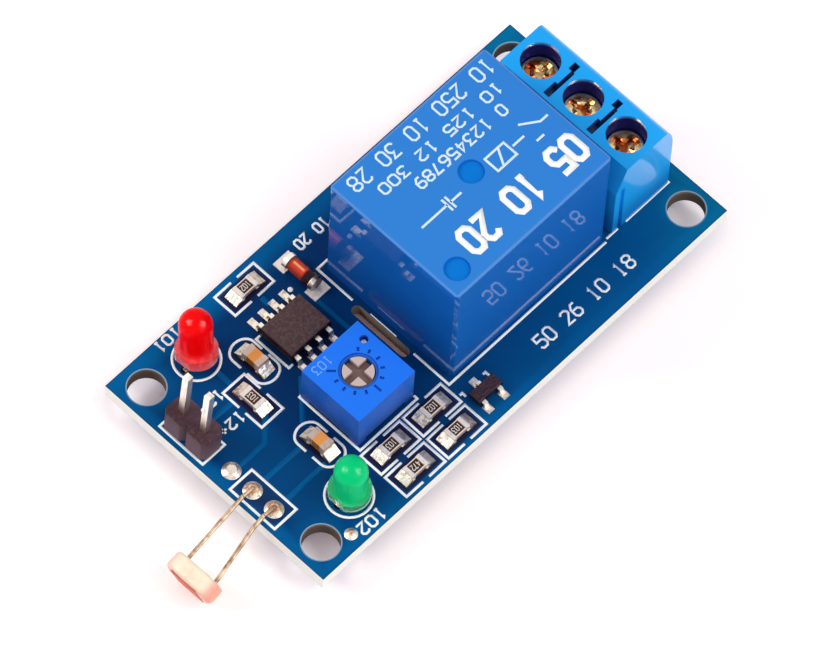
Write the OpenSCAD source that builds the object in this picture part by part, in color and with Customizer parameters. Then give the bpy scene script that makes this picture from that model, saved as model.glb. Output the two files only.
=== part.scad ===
// Light sensor relay module: a small circuit board that switches a relay by the light on a photoresistor.
// Origin at the centre of the mounting hole pattern, on the underside of the board.
// X runs from the sensor end to the terminal end, Z points up from the component side.

/* [Circuit board] */
// Length of the board
board_l = 50; // [49:0.5:60]
// Width of the board
board_w = 26; // [25:0.5:34]
// Thickness of the board
board_t = 1.6; // [1:0.1:2.4]
// Diameter of the mounting holes
mount_d = 3.4; // [2:0.1:3.6]
// Centre of a mounting hole to the end of the board
mount_end = 2.4; // [2.2:0.1:2.8]
// Centre of a mounting hole to the side of the board
mount_side = 2.6; // [2.2:0.1:2.8]
// Length of the trimmed leads below the board
tail_l = 1.9; // [1.4:0.1:3]
// Height of a solder cone below the board
cone_h = 0.9; // [0.5:0.1:1.1]
// Width of the solder ring round a lead hole
ring_w = 0.42; // [0.2:0.02:0.5]
// Width of the slot milled between the trimmer and the relay
mill_w = 1; // [0.6:0.1:1.2]
// Length of the milled slot
mill_l = 6.6; // [5:0.1:7.6]

/* [Relay] */
// Length of the relay case
relay_l = 19; // [18:0.1:19.8]
// Width of the relay case
relay_w = 15.1; // [14.4:0.1:16]
// Height of the relay case above the board
relay_h = 14.8; // [13.6:0.1:18]
// Wall of the relay case
case_wall = 0.8; // [0.5:0.1:1]
// Bevel along the top edges of the relay case
case_bevel = 0.3; // [0.1:0.05:0.6]
// Thickness of the relay base
base_t = 1.6; // [1:0.1:2]
// Diameter of the round marks sunk in the top
mark_d = 2.35; // [1.5:0.05:3]
// Depth of the round marks
mark_depth = 0.25; // [0.1:0.05:0.4]
// Thickness of the yoke plate
yoke_t = 1.2; // [0.8:0.1:1.4]
// Width of the yoke
yoke_w = 8; // [6:0.5:9]
// Diameter of the coil core
core_d = 3.2; // [2.4:0.1:4]
// Thickness of the armature
armature_t = 1; // [0.8:0.1:1.2]
// Thickness of the contact blade
blade_t = 0.2; // [0.15:0.05:0.3]
// Diameter of the contact buttons
contact_d = 2.2; // [1.6:0.1:2.6]
// Angle of the armature from the pole face when the coil is off
armature_open = 3; // [2.5:0.1:3]
// Centre of a coil or contact pin to the side of the relay case
relay_pin_inset = 1.6; // [1.4:0.05:2]

/* [Terminal block] */
// Distance between two poles
pitch = 5.08; // [5:0.02:5.5]
// Depth of the block from back to wire side
term_depth = 7.05; // [7:0.05:7.6]
// Height of the block
term_h = 10.1; // [9.8:0.1:12]
// Diameter of the screw holes
screw_hole_d = 3.6; // [3.4:0.1:3.8]
// Diameter of the screw heads
screw_head_d = 3.3; // [2.8:0.1:3.4]
// Diameter of the screw thread
screw_d = 2.5; // [2:0.1:2.6]
// Height of a screw head
screw_head_h = 0.8; // [0.6:0.1:1]
// Width of the driver slots
slot_w = 0.55; // [0.4:0.05:0.7]
// Wall of the clamp cages
cage_wall = 0.55; // [0.4:0.05:0.6]
// Height of a clamp cage
cage_h = 4.2; // [4:0.1:4.4]
// Rise of a clamp cage
cage_rise = 1.8; // [1:0.1:1.8]
// Thickness of the clamp plates
plate_t = 0.6; // [0.4:0.05:0.7]

/* [Trimmer] */
// Width of the trimmer body
trim_w = 6.8; // [6.4:0.1:7.2]
// Height of the trimmer above the board
trim_h = 4.8; // [4.6:0.1:6]
// Diameter of the visible rotor face
rotor_d = 2.8; // [2.4:0.1:3.4]
// Diameter of the rotor flange inside
flange_d = 5; // [4:0.1:5.2]
// Depth of the cross in the rotor
cross_depth = 0.6; // [0.3:0.1:0.8]
// Width of the cross in the rotor
cross_w = 0.72; // [0.4:0.02:0.9]

/* [Indicator lamps] */
// Diameter of a lens
lens_d = 3; // [2.6:0.1:3.4]
// Diameter of the lens foot
foot_d = 3.8; // [3.6:0.1:4]
// Height of the lens foot
foot_h = 1; // [0.6:0.1:1.4]
// Height from the underside of the lens to the centre of its dome
dome_z = 3.9; // [3.6:0.1:5]
// Width of the lamp leads
lamp_lead_w = 0.45; // [0.35:0.05:0.5]
// Lean of the red lamp away from upright
red_lean = 14; // [0:1:16]
// Height of the red lamp above the board
red_raise = 0.9; // [0.8:0.05:2]
// Height of the green lamp above the board
green_raise = 0.5; // [0.3:0.05:2]

/* [Header and sensor] */
// Distance between pins and between sensor leads
pin_pitch = 2.54; // [2.5:0.02:2.6]
// Width of a header pin
header_pin_w = 0.64; // [0.5:0.02:0.7]
// Length of a header pin above its block
header_pin_l = 6; // [4:0.5:9]
// Lean of the header toward the board
header_lean = 4.5; // [0:0.5:5]
// Width of the sensor disc
sensor_d = 5.1; // [4.6:0.1:5.6]
// Height of the sensor disc across its flats
sensor_flat = 4.3; // [4:0.1:4.6]
// Thickness of the sensor disc
sensor_t = 1.8; // [1.6:0.1:2.4]
// Distance between the leads at the sensor disc
sensor_lead_span = 3.2; // [2.8:0.1:3.4]
// Diameter of the sensor leads
sensor_lead_d = 0.4; // [0.3:0.05:0.6]
// Downward tilt of the sensor
sensor_tilt = 16.5; // [10:0.5:20]

/* [Surface parts] */
// Length of a chip part
chip_l = 2; // [1.8:0.05:2.1]
// Width of a chip part
chip_w = 1.25; // [1.1:0.05:1.35]
// Height of a chip resistor
resistor_h = 0.55; // [0.4:0.05:0.7]
// Height of a chip capacitor
capacitor_h = 1.1; // [0.8:0.05:1.25]
// Length of the metal ends of a chip part
chip_end = 0.4; // [0.25:0.05:0.5]
// Thickness of the tinned pads
pad_t = 0.12; // [0.06:0.02:0.2]
// Length of the comparator body
ic_l = 4.9; // [4.8:0.05:5.1]
// Width of the comparator body
ic_w = 3.9; // [3.7:0.05:4]
// Height of the comparator
ic_h = 1.6; // [1.4:0.05:1.75]
// Length of the diode
diode_l = 3.5; // [3.2:0.05:3.6]
// Diameter of the diode ends
diode_d = 1.5; // [1.3:0.05:1.6]

/* [Hidden] */
$fn = 48;

eps = 0.01;
fit = 0.05;
left_x = -board_l / 2;
right_x = board_l / 2;
side_y = board_w / 2;
mount_x = right_x - mount_end;
mount_y = side_y - mount_side;

// Terminal block, from the wire side back
poles = 3;
term_inset = 1.7;
term_x1 = right_x - term_inset;
term_x0 = term_x1 - term_depth;
term_side_cut = 0.1;
term_w = poles * pitch - 2 * term_side_cut;
term_top_back = 1.2;
term_top_front = 1.1;
term_shoulder_back = 7;
term_shoulder_front = 7;
screw_inset = 3.4;
screw_x = term_x1 - screw_inset;
housing_floor = 0.8;
cage_gap = 0.1;
cavity_bottom = board_t + housing_floor;
cage_bottom = cavity_bottom + cage_gap;
cage_top = cage_bottom + cage_h;
head_bottom = cage_top + cage_rise + 2 * fit;
head_top = head_bottom + screw_head_h;
cavity_top = head_bottom - fit;
cage_l = 4.2;
pole_wall = 0.9;
cavity_w = pitch - pole_wall;
cage_w = cavity_w - 2 * cage_gap;
front_wall = 0.9;
back_wall = 0.75;
cavity_x0 = term_x0 + back_wall;
cavity_x1 = term_x1 - front_wall;
plate_gap = 0.2;
plate_top = cage_top - cage_wall - plate_gap;
plate_side_gap = 0.15;
plate_w = cage_w - 2 * (cage_wall + plate_side_gap);
leg_w = 1;
leg_t = 0.6;
leg_x = cavity_x0 + cage_gap + leg_t / 2;
leg_hole_d = 1.5;
entry_w = 3;
entry_z0 = cage_bottom + cage_wall;
entry_z1 = plate_top;
entry_recess = 0.4;
entry_margin = 0.4;
entry_cut = 0.8;
groove_w = 0.5;
groove_inset = 0.65;
groove_depth = 0.3;
screw_rim = 0.3;
recess_d = 1.7;

// Outline of the joint between two poles, from the line of the screws and the middle of the joint
joint_sink = 1.2;
joint_outline = [[-2.1, -0.44], [1.15, -0.44], [1.15, -0.3], [2, -0.3], [2, 0.36], [1.15, 0.36],
    [1.15, -0.03], [-0.6, -0.03], [-0.6, 0.27], [-2.1, 0.27]];

// Relay, from its terminal side back
relay_gap = 0.8;
relay_proud = 0.23;
relay_y1 = term_w / 2 + relay_proud;
relay_y0 = relay_y1 - relay_w;
relay_y = (relay_y0 + relay_y1) / 2;
relay_pin_span = relay_w - 2 * relay_pin_inset;
relay_x1 = term_x0 - relay_gap;
relay_x0 = relay_x1 - relay_l;
relay_x = (relay_x0 + relay_x1) / 2;
relay_top = board_t + relay_h;
base_lift = 0.3;
base_z0 = board_t + base_lift;
base_z1 = base_z0 + base_t;
inner_top = relay_top - case_wall;
common_inset = 2.4;
common_x = relay_x0 + common_inset;
coil_pin_step = 1.95;
coil_pin_x = common_x + coil_pin_step;
contact_inset = 2.45;
contact_x = relay_x1 - contact_inset;
strip_t = 0.4;
strip_w = 1;
inner_gap = 0.3;
closed_z = inner_top - inner_gap - strip_t;
button_h = 0.4;
contact_gap = 0.1;
blade_reach = contact_x - common_x;
contact_lift = (blade_reach + contact_d / 2) * sin(armature_open);
contact_stack = armature_t + blade_t + button_h;
pivot_z = closed_z - button_h - contact_gap - contact_lift - contact_stack * cos(armature_open);
open_z = pivot_z + armature_t - button_h - contact_gap;
pole_z = pivot_z - contact_gap;
pole_t = 0.6;
pole_rim = 1;
pole_d = core_d + 2 * pole_rim;
bobbin_z0 = base_z1 + yoke_t;
bobbin_z1 = pole_z - pole_t;
coil_gap = 0.2;
coil_x0 = common_x + yoke_t / 2 + coil_gap;
coil_x1 = contact_x - contact_d / 2 - coil_gap;
coil_x = (coil_x0 + coil_x1) / 2;
coil_room = relay_w - 2 * (case_wall + inner_gap);
bobbin_r = min(coil_x1 - coil_x0, coil_room) / 2;
bobbin_wall = 0.8;
barrel_r = core_d / 2 + bobbin_wall;
winding_r = bobbin_r - 0.4;
relay_tail = tail_l - base_lift;
coil_pin_d = 0.6;
coil_pin_rise = 1.6;
mark_inset = 1.95;
yoke_foot = 1.5;
armature_past = 0.8;
blade_edge = 0.2;
blade_neck = 1;

// Parts between the relay and the sensor end
trim_step = 7;
trim_x = relay_x0 - trim_step;
trim_y = -2.9;
trim_foot = 0.4;
trim_top = board_t + trim_h;
trim_bottom = board_t + trim_foot;
element_t = 0.7;
element_lift = 0.3;
element_z0 = trim_bottom + element_lift;
wiper_room = 0.6;
wiper_t = 0.15;
wiper_w = 1.2;
wiper_foot_d = 0.6;
wiper_inset = 0.5;
trim_roof = 1;
flange_z0 = element_z0 + element_t + wiper_room;
rotor_gap = 0.1;
flange_z1 = trim_top - trim_roof - rotor_gap;
flange_gap = 0.2;
trim_cavity_d = flange_d + 2 * flange_gap;
trim_foot_w = 1;
pin_sink = 0.8;
trim_pin_d = 0.5;
trim_pin_x = 2.54;
trim_pin_y = 1.8;
trim_pins = [[trim_pin_x, trim_pin_y], [-trim_pin_x, trim_pin_y], [0, trim_pin_y - trim_pin_x]];
pin_well_d = 0.8;
pin_rise = 1.5;
tick_count = 11;
tick_step = 27;
tick_start = 135;
tick_out = 0.5;
tick_w = 0.24;
tick_l = 0.4;
tick_depth = 0.12;
dial_ring = 0.25;
dial_depth = 0.15;

ic_step = 6.35;
ic_x = relay_x0 - ic_step;
ic_y = 5.1;
ic_pitch = 1.27;
ic_pad_w = 0.65;
ic_pad_l = 1.25;
diode_step = 2.05;
diode_inset = 4.5;
diode_x = relay_x0 - diode_step;
diode_y = side_y - diode_inset;
diode_pad_w = 1.9;
diode_pad_l = 1.3;
transistor_step = 1.05;
transistor_share = 0.46;
transistor_x = relay_x0 + transistor_step;
transistor_y = transistor_share * (relay_y0 + side_y) - side_y;
transistor_pad_w = 0.7;
transistor_pad_l = 0.9;

// Parts at the sensor end
lamp_end = 7.3;
red_inset = 3.75;
green_inset = 4;
lamp_x = left_x + lamp_end;
red_y = side_y - red_inset;
green_y = green_inset - side_y;
red_turn = 53;
lamp_lead_gap = 2.54;
lamp_flat = 0.2;
post_drop = 1.7;
cup_drop = 0.9;
arm_drop = 1.1;
cup_w = 0.6;
arm_w = 0.4;
cup_side = 0.15;
arm_side = 0.25;
lead_up = 0.25;
lead_down = 0.12;
header_end = 1.87;
header_x = left_x + header_end;
header_y = 4.43;
header_cut = 0.45;
pin_tip = 0.15;
sensor_end = 1.8;
sensor_x = left_x + sensor_end;
sensor_y = -4.15;
sensor_out = 7.17;
sensor_shift = 0.63;
disc_x = left_x - sensor_out;
disc_y = sensor_y - sensor_shift;
disc_drop = cos(sensor_tilt) * sensor_flat / 2 + sin(sensor_tilt) * sensor_t / 2;
disc_z = disc_drop - tail_l;
lead_seat = 0.6;
lead_exit = 0.3;
lead_step = 0.8;
lead_over = 0.3;
lead_dip = 0.1;
track_t = 0.08;
track_w = 0.26;
track_edge = 0.45;
test_end = 1.85;
test_x = left_x + test_end;
test_y = -0.3;
via_end = 4.75;
via_inset = 1.35;
via_x = left_x + via_end;
via_y = via_inset - side_y;
mill_step = 1.05;
mill_x = relay_x0 - mill_step;
mill_y = 0.05;

// Each chip part as its place and its turn; some share the room between the relay and the sensor end
chip_pad = 1.1;
chip_span = 3.6;
middle_room = relay_x0 - left_x;
row_end = 3.4;
row_shift = 0.275;
row_inset = 1.75;
row_x1 = relay_x0 - row_end;
row_x0 = (lamp_x + foot_d / 2 + row_x1 - chip_span / 2) / 2 + row_shift;
row_step = 2.9;
row_y = row_inset - side_y;
lone_step = 6.4;
lone_inset = 1.95;
resistors = [
    [relay_x0 - lone_step, side_y - lone_inset, 0],
    [left_x + 0.3683 * middle_room, 3.1, 90],
    [row_x0, row_y + row_step, 0],
    [row_x1, row_y + row_step, 0],
    [row_x0, row_y, 0],
    [row_x1, row_y, 0]];
capacitors = [
    [left_x + 0.4988 * middle_room, 5.6, 90],
    [left_x + 0.4172 * middle_room, -3.9, 90]];

function pole_y(i) = (i - (poles - 1) / 2) * pitch;

// Straight round bar from one point to another, with a ball at its far end
module bar(a, b, d) {
    v = b - a;
    h = norm(v);
    translate(a) rotate([0, acos(v[2] / h), atan2(v[1], v[0])]) cylinder(d = d, h = h);
    translate(b) sphere(d = d * 1.04);
}

// Box from a corner to the opposite corner
module span(a, b) {
    translate(a) cube(b - a);
}

module drafted_side(half, z0, z1, band, draft) {
    mid = (z0 + z1) / 2;
    top = half - draft;
    polygon([[-top, z0], [top, z0], [half, mid - band], [half, mid + band], [top, z1], [-top, z1],
        [-half, mid + band], [-half, mid - band]]);
}

// Block whose sides draw in above and below its middle band
module drafted(l, w, z0, z1, band, draft) {
    intersection() {
        rotate([90, 0, 0]) linear_extrude(w, center = true)
            drafted_side(l / 2, z0, z1, band / 2, draft);
        rotate([90, 0, 90]) linear_extrude(l, center = true)
            drafted_side(w / 2, z0, z1, band / 2, draft);
    }
}

// Plan outline of a box with its upright edges cut
module cut_square(l, w, c) {
    polygon([[-l / 2 + c, -w / 2], [l / 2 - c, -w / 2], [l / 2, -w / 2 + c], [l / 2, w / 2 - c],
        [l / 2 - c, w / 2], [-l / 2 + c, w / 2], [-l / 2, w / 2 - c], [-l / 2, -w / 2 + c]]);
}

// Places of the lead holes with their diameters
hole_gap = 0.3;
across = sqrt(2);
header_hole_d = header_pin_w * across + hole_gap;
header_holes = [for (i = [-0.5, 0.5]) [header_x, header_y + i * pin_pitch, header_hole_d]];
sensor_hole_gap = 0.5;
sensor_hole_d = sensor_lead_d + sensor_hole_gap;
sensor_holes = [for (i = [-0.5, 0.5]) [sensor_x, sensor_y + i * pin_pitch, sensor_hole_d]];
lamp_hole_d = lamp_lead_w * across + hole_gap;
lamp_holes = [for (y = [red_y, green_y]) for (i = [-0.5, 0.5]) [lamp_x + i * lamp_lead_gap, y, lamp_hole_d]];
trim_holes = [for (p = trim_pins) [trim_x + p[0], trim_y + p[1], trim_pin_d + hole_gap]];
term_holes = [for (i = [0:poles - 1]) [leg_x, pole_y(i), leg_hole_d]];
strip_hole_d = 1.4;
relay_holes = concat([[common_x, relay_y, strip_hole_d]],
    [for (i = [-0.5, 0.5]) [coil_pin_x, relay_y + i * relay_pin_span, coil_pin_d + hole_gap]],
    [for (i = [-0.5, 0.5]) [contact_x, relay_y + i * relay_pin_span, strip_hole_d]]);
lead_holes = concat(header_holes, sensor_holes, lamp_holes, trim_holes, term_holes, relay_holes);
test_d = 0.9;
via_d = 0.35;
filled_holes = [[test_x, test_y, test_d], [via_x, via_y, via_d]];
ring_h = 0.3;

// Plan outline of a slot with round ends, its length along Y
module round_slot(w, l) {
    polygon([for (s = [1, -1]) for (a = [0:15:180])
        [s * cos(a) * w / 2, s * ((l - w) / 2 + sin(a) * w / 2)]]);
}

module circuit_board() {
    color("navy") difference() {
        translate([0, 0, board_t / 2]) cube([board_l, board_w, board_t], center = true);
        for (x = [-mount_x, mount_x]) for (y = [-mount_y, mount_y])
            translate([x, y, -1]) cylinder(d = mount_d, h = board_t + 2);
        for (h = concat(lead_holes, filled_holes))
            translate([h[0], h[1], -1]) cylinder(d = h[2], h = board_t + 2);
        translate([mill_x, mill_y, -1]) linear_extrude(board_t + 2) round_slot(mill_w, mill_l);
    }
}

// Tinned pad with a fillet that rises to the end of a part
module end_pad(reach, outer, w, rise) {
    rotate([90, 0, 0]) linear_extrude(w, center = true)
        polygon([[outer - chip_pad, 0], [outer, 0], [outer, pad_t], [reach, pad_t + rise], [reach, pad_t],
            [outer - chip_pad, pad_t]]);
}

module chip_pads(place, rise) {
    translate([place[0], place[1], board_t]) rotate(place[2]) {
        for (turn = [0, 180]) rotate(turn) end_pad(chip_l / 2, chip_span / 2, chip_w + pad_margin, rise);
    }
}

pad_margin = 0.15;
ic_lead_w = 0.42;
ic_lead_t = 0.2;
ic_foot = 0.55;
ic_reach = 3.05;
sot_l = 2.9;
sot_w = 1.3;
sot_h = 1.05;
sot_pitch = 0.95;
sot_reach = 1.25;
sot_lead_w = 0.42;
sot_lead_t = 0.13;

module pad_solder() {
    color("silver") {
        for (p = resistors) chip_pads(p, resistor_h * 0.7);
        for (p = capacitors) chip_pads(p, capacitor_h * 0.5);
        for (s = [-1, 1]) {
            pad_y = ic_y + s * (ic_reach - pad_margin / 2);
            for (i = [-1.5:1:1.5]) translate([ic_x + i * ic_pitch, pad_y, board_t + pad_t / 2])
                cube([ic_pad_w, ic_pad_l, pad_t], center = true);
            for (s2 = [-1, 1])
                translate([diode_x, diode_y + s2 * (diode_l / 2 + pad_margin), board_t + pad_t / 2])
                    cube([diode_pad_w, diode_pad_l, pad_t], center = true);
            translate([transistor_x + s * sot_pitch, transistor_y - sot_reach, board_t + pad_t / 2])
                cube([transistor_pad_w, transistor_pad_l, pad_t], center = true);
        }
        translate([transistor_x, transistor_y + sot_reach, board_t + pad_t / 2])
            cube([transistor_pad_w, transistor_pad_l, pad_t], center = true);
        difference() {
            for (h = sensor_holes)
                translate([h[0], h[1], board_t])
                    cylinder(d1 = h[2] + 2 * ring_w, d2 = h[2], h = ring_h);
            sensor_leads();
        }
        for (h = filled_holes)
            translate([h[0], h[1], board_t]) cylinder(d1 = h[2] + 2 * ring_w, d2 = h[2], h = ring_h);
    }
}

// Cones of solder under the board, one round each trimmed lead
module joint_solder() {
    color("silver") difference() {
        union() {
            for (h = lead_holes)
                translate([h[0], h[1], -cone_h]) cylinder(d1 = h[2], d2 = h[2] + 2 * ring_w, h = cone_h);
            for (h = filled_holes) translate([h[0], h[1], -cone_h / 2])
                cylinder(d1 = h[2], d2 = h[2] + 2 * ring_w, h = cone_h / 2);
        }
        header_pins();
        sensor_leads();
        red_lamp_leads();
        green_lamp_leads();
        trimmer_pins();
        terminal_plates();
        relay_coil_pins();
        relay_common_pin();
        relay_open_contact();
        relay_closed_contact();
    }
}

module relay_case() {
    color("royalblue") difference() {
        intersection() {
            translate([relay_x, relay_y, board_t]) linear_extrude(relay_h)
                cut_square(relay_l, relay_w, case_bevel);
            translate([relay_x, relay_y, board_t]) rotate([90, 0, 0])
                linear_extrude(relay_w, center = true)
                    polygon([[-relay_l / 2, 0], [relay_l / 2, 0], [relay_l / 2, relay_h - case_bevel],
                        [relay_l / 2 - case_bevel, relay_h], [-relay_l / 2 + case_bevel, relay_h],
                        [-relay_l / 2, relay_h - case_bevel]]);
            translate([relay_x, relay_y, board_t]) rotate([90, 0, 90])
                linear_extrude(relay_l, center = true)
                    polygon([[-relay_w / 2, 0], [relay_w / 2, 0], [relay_w / 2, relay_h - case_bevel],
                        [relay_w / 2 - case_bevel, relay_h], [-relay_w / 2 + case_bevel, relay_h],
                        [-relay_w / 2, relay_h - case_bevel]]);
        }
        span([relay_x0 + case_wall, relay_y0 + case_wall, board_t - 1],
            [relay_x1 - case_wall, relay_y1 - case_wall, inner_top]);
        for (p = [[relay_x, relay_y], [relay_x0 + mark_inset, relay_y0 + mark_inset]])
            translate([p[0], p[1], relay_top - mark_depth]) cylinder(d = mark_d, h = 1);
    }
}

module relay_base() {
    color("midnightblue") difference() {
        span([relay_x0 + case_wall + fit, relay_y0 + case_wall + fit, base_z0],
            [relay_x1 - case_wall - fit, relay_y1 - case_wall - fit, base_z1]);
        for (s = [-0.5, 0.5]) {
            translate([coil_pin_x, relay_y + s * relay_pin_span, 0])
                cylinder(d = coil_pin_d + 2 * fit, h = relay_top);
            translate([contact_x, relay_y + s * relay_pin_span, relay_top / 2])
                cube([strip_t + 2 * fit, strip_w + 2 * fit, relay_top], center = true);
        }
        translate([common_x, relay_y, relay_top / 2])
            cube([strip_t + 2 * fit, strip_w + 2 * fit, relay_top], center = true);
    }
}

module relay_bobbin() {
    h = bobbin_z1 - bobbin_z0;
    color("ivory") translate([coil_x, relay_y, bobbin_z0]) rotate_extrude()
        polygon([[core_d / 2 + fit, 0], [bobbin_r, 0], [bobbin_r, bobbin_wall], [barrel_r, bobbin_wall],
            [barrel_r, h - bobbin_wall], [bobbin_r, h - bobbin_wall], [bobbin_r, h], [core_d / 2 + fit, h]]);
}

module relay_winding() {
    z0 = bobbin_z0 + bobbin_wall;
    z1 = bobbin_z1 - bobbin_wall;
    color("chocolate") translate([coil_x, relay_y, z0]) difference() {
        cylinder(r = winding_r, h = z1 - z0);
        translate([0, 0, -1]) cylinder(r = barrel_r + fit, h = z1 - z0 + 2);
    }
}

module relay_core() {
    color("silver") translate([coil_x, relay_y, 0]) {
        translate([0, 0, base_z1]) cylinder(d = core_d, h = bobbin_z1 - base_z1 + eps);
        translate([0, 0, bobbin_z1]) cylinder(d = pole_d, h = pole_t);
    }
}

module relay_yoke() {
    foot_x = coil_x + core_d / 2 + yoke_foot;
    color("silver") difference() {
        translate([0, relay_y, 0]) rotate([90, 0, 0]) linear_extrude(yoke_w, center = true)
            polygon([[common_x - yoke_t / 2, base_z1], [foot_x, base_z1], [foot_x, base_z1 + yoke_t],
                [common_x + yoke_t / 2, base_z1 + yoke_t], [common_x + yoke_t / 2, pivot_z - fit],
                [common_x - yoke_t / 2, pivot_z - fit]]);
        translate([coil_x, relay_y, base_z1 - 1]) cylinder(d = core_d + 2 * fit, h = yoke_t + 2);
    }
}

// Turns a part drawn level at the pivot up to its place when the coil is off
module at_pivot() {
    translate([common_x, relay_y, pivot_z]) rotate([0, -armature_open, 0]) children();
}

module relay_armature() {
    reach = coil_x + pole_d / 2 + armature_past - common_x;
    color("silver") at_pivot()
        span([-yoke_t / 2, -yoke_w / 2, 0], [reach, yoke_w / 2, armature_t]);
}

module relay_moving_contact() {
    wide = yoke_w - 2 * blade_neck;
    narrow = contact_d + 2 * blade_edge;
    color("goldenrod") at_pivot() {
        translate([0, 0, armature_t]) linear_extrude(blade_t)
            polygon([[0, -wide / 2], [blade_reach * 0.6, -wide / 2], [blade_reach * 0.8, -narrow / 2],
                [blade_reach + contact_d / 2, -narrow / 2], [blade_reach + contact_d / 2, narrow / 2],
                [blade_reach * 0.8, narrow / 2], [blade_reach * 0.6, wide / 2], [0, wide / 2]]);
        translate([blade_reach, 0, armature_t - button_h + contact_gap])
            cylinder(d = contact_d, h = 2 * button_h + blade_t - contact_gap);
    }
}

// Fixed contact strip: pin, upright and arm, with its button toward the middle
module contact_strip(s, arm_z, button_z) {
    y = relay_y + s * relay_pin_span / 2;
    translate([contact_x, 0, 0]) {
        span([-strip_t / 2, y - strip_w / 2, -relay_tail], [strip_t / 2, y + strip_w / 2, arm_z + strip_t]);
        span([-contact_d / 2, min(y + s * strip_w / 2, relay_y - s * contact_d / 2), arm_z],
            [contact_d / 2, max(y + s * strip_w / 2, relay_y - s * contact_d / 2), arm_z + strip_t]);
        translate([0, relay_y, button_z]) cylinder(d = contact_d, h = button_h);
    }
}

module relay_open_contact() {
    color("goldenrod") contact_strip(1, open_z - button_h - strip_t, open_z - button_h);
}

module relay_closed_contact() {
    color("goldenrod") contact_strip(-1, closed_z, closed_z - button_h);
}

module relay_coil_pins() {
    color("silver") for (s = [-0.5, 0.5])
        translate([coil_pin_x, relay_y + s * relay_pin_span, -relay_tail])
            cylinder(d = coil_pin_d, h = relay_tail + base_z1 + coil_pin_rise);
}

module relay_common_pin() {
    color("silver") translate([common_x, relay_y, 0])
        span([-strip_t / 2, -strip_w / 2, -relay_tail], [strip_t / 2, strip_w / 2, base_z1]);
}

// Side outline of the terminal block in X and height above the board
arc_steps = 6;
arc_r = term_h - term_shoulder_front;
term_outline = concat(
    [[term_x0, 0], [term_x0, term_shoulder_back], [term_x0 + term_top_back, term_h]],
    [for (i = [0:arc_steps]) [term_x1 - term_top_front + term_top_front * sin(90 * i / arc_steps),
        term_shoulder_front + arc_r * cos(90 * i / arc_steps)]],
    [[term_x1, 0]]);

module entry_outline(margin) {
    w = entry_w / 2 + margin;
    z0 = entry_z0 - margin;
    z1 = entry_z1 + margin;
    polygon([[-w, z0], [w, z0], [w, z1 - entry_cut], [w - entry_cut, z1],
        [-w + entry_cut, z1], [-w, z1 - entry_cut]]);
}

module terminal_housing() {
    groove_x = term_x0 + groove_inset;
    color("dodgerblue") difference() {
        translate([0, 0, board_t]) rotate([90, 0, 0])
            linear_extrude(term_w, center = true) polygon(term_outline);
        for (i = [0:poles - 1]) translate([0, pole_y(i), 0]) {
            translate([screw_x, 0, cavity_top - eps]) cylinder(d = screw_hole_d, h = board_t + term_h);
            span([cavity_x0, -cavity_w / 2, cavity_bottom], [cavity_x1, cavity_w / 2, cavity_top]);
            translate([cavity_x1 - eps, 0, 0]) rotate([90, 0, 90])
                linear_extrude(front_wall + 1) entry_outline(0);
            translate([term_x1 - entry_recess, 0, 0]) rotate([90, 0, 90]) linear_extrude(1)
                entry_outline(entry_margin);
            span([leg_x - leg_t / 2 - fit, -leg_w / 2 - fit, 0],
                [leg_x + leg_t / 2 + fit, leg_w / 2 + fit, cavity_bottom + eps]);
        }
        for (i = [0:poles - 2])
            translate([screw_x, pole_y(i) + pitch / 2, board_t + term_h - joint_sink])
                linear_extrude(joint_sink + 1) polygon(joint_outline);
        span([groove_x, -term_w, board_t - 1],
            [groove_x + groove_w, -term_w / 2 + groove_depth, board_t + term_shoulder_back]);
    }
}

// Screw with a cross recess that widens to a cup in the middle of its head
module terminal_screw(i) {
    thread_bottom = plate_top + fit;
    color("gold") translate([screw_x, pole_y(i), 0]) difference() {
        union() {
            translate([0, 0, head_bottom]) cylinder(d = screw_head_d, h = screw_head_h);
            translate([0, 0, thread_bottom]) cylinder(d = screw_d, h = head_bottom - thread_bottom + eps);
        }
        for (a = [0, 90]) rotate(a) translate([0, 0, head_top])
            cube([screw_head_d - 2 * screw_rim, slot_w, screw_head_h], center = true);
        translate([0, 0, head_top - screw_head_h / 2])
            cylinder(d1 = slot_w, d2 = 2 * recess_d - slot_w, h = screw_head_h);
    }
}

module terminal_cage(i) {
    color("gainsboro") translate([screw_x, pole_y(i), 0]) difference() {
        span([-cage_l / 2, -cage_w / 2, cage_bottom], [cage_l / 2, cage_w / 2, cage_top]);
        span([-cage_l, -cage_w / 2 + cage_wall, cage_bottom + cage_wall],
            [cage_l, cage_w / 2 - cage_wall, cage_top - cage_wall]);
        translate([0, 0, cage_top - cage_wall - 1]) cylinder(d = screw_d + 2 * fit, h = cage_wall + 2);
    }
}

module terminal_plates() {
    plate_x1 = screw_x + cage_l / 2;
    color("silver") for (i = [0:poles - 1]) translate([0, pole_y(i), 0]) {
        span([leg_x - leg_t / 2, -plate_w / 2, plate_top - plate_t], [plate_x1, plate_w / 2, plate_top]);
        span([leg_x - leg_t / 2, -leg_w / 2, -tail_l], [leg_x + leg_t / 2, leg_w / 2, plate_top]);
    }
}

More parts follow.
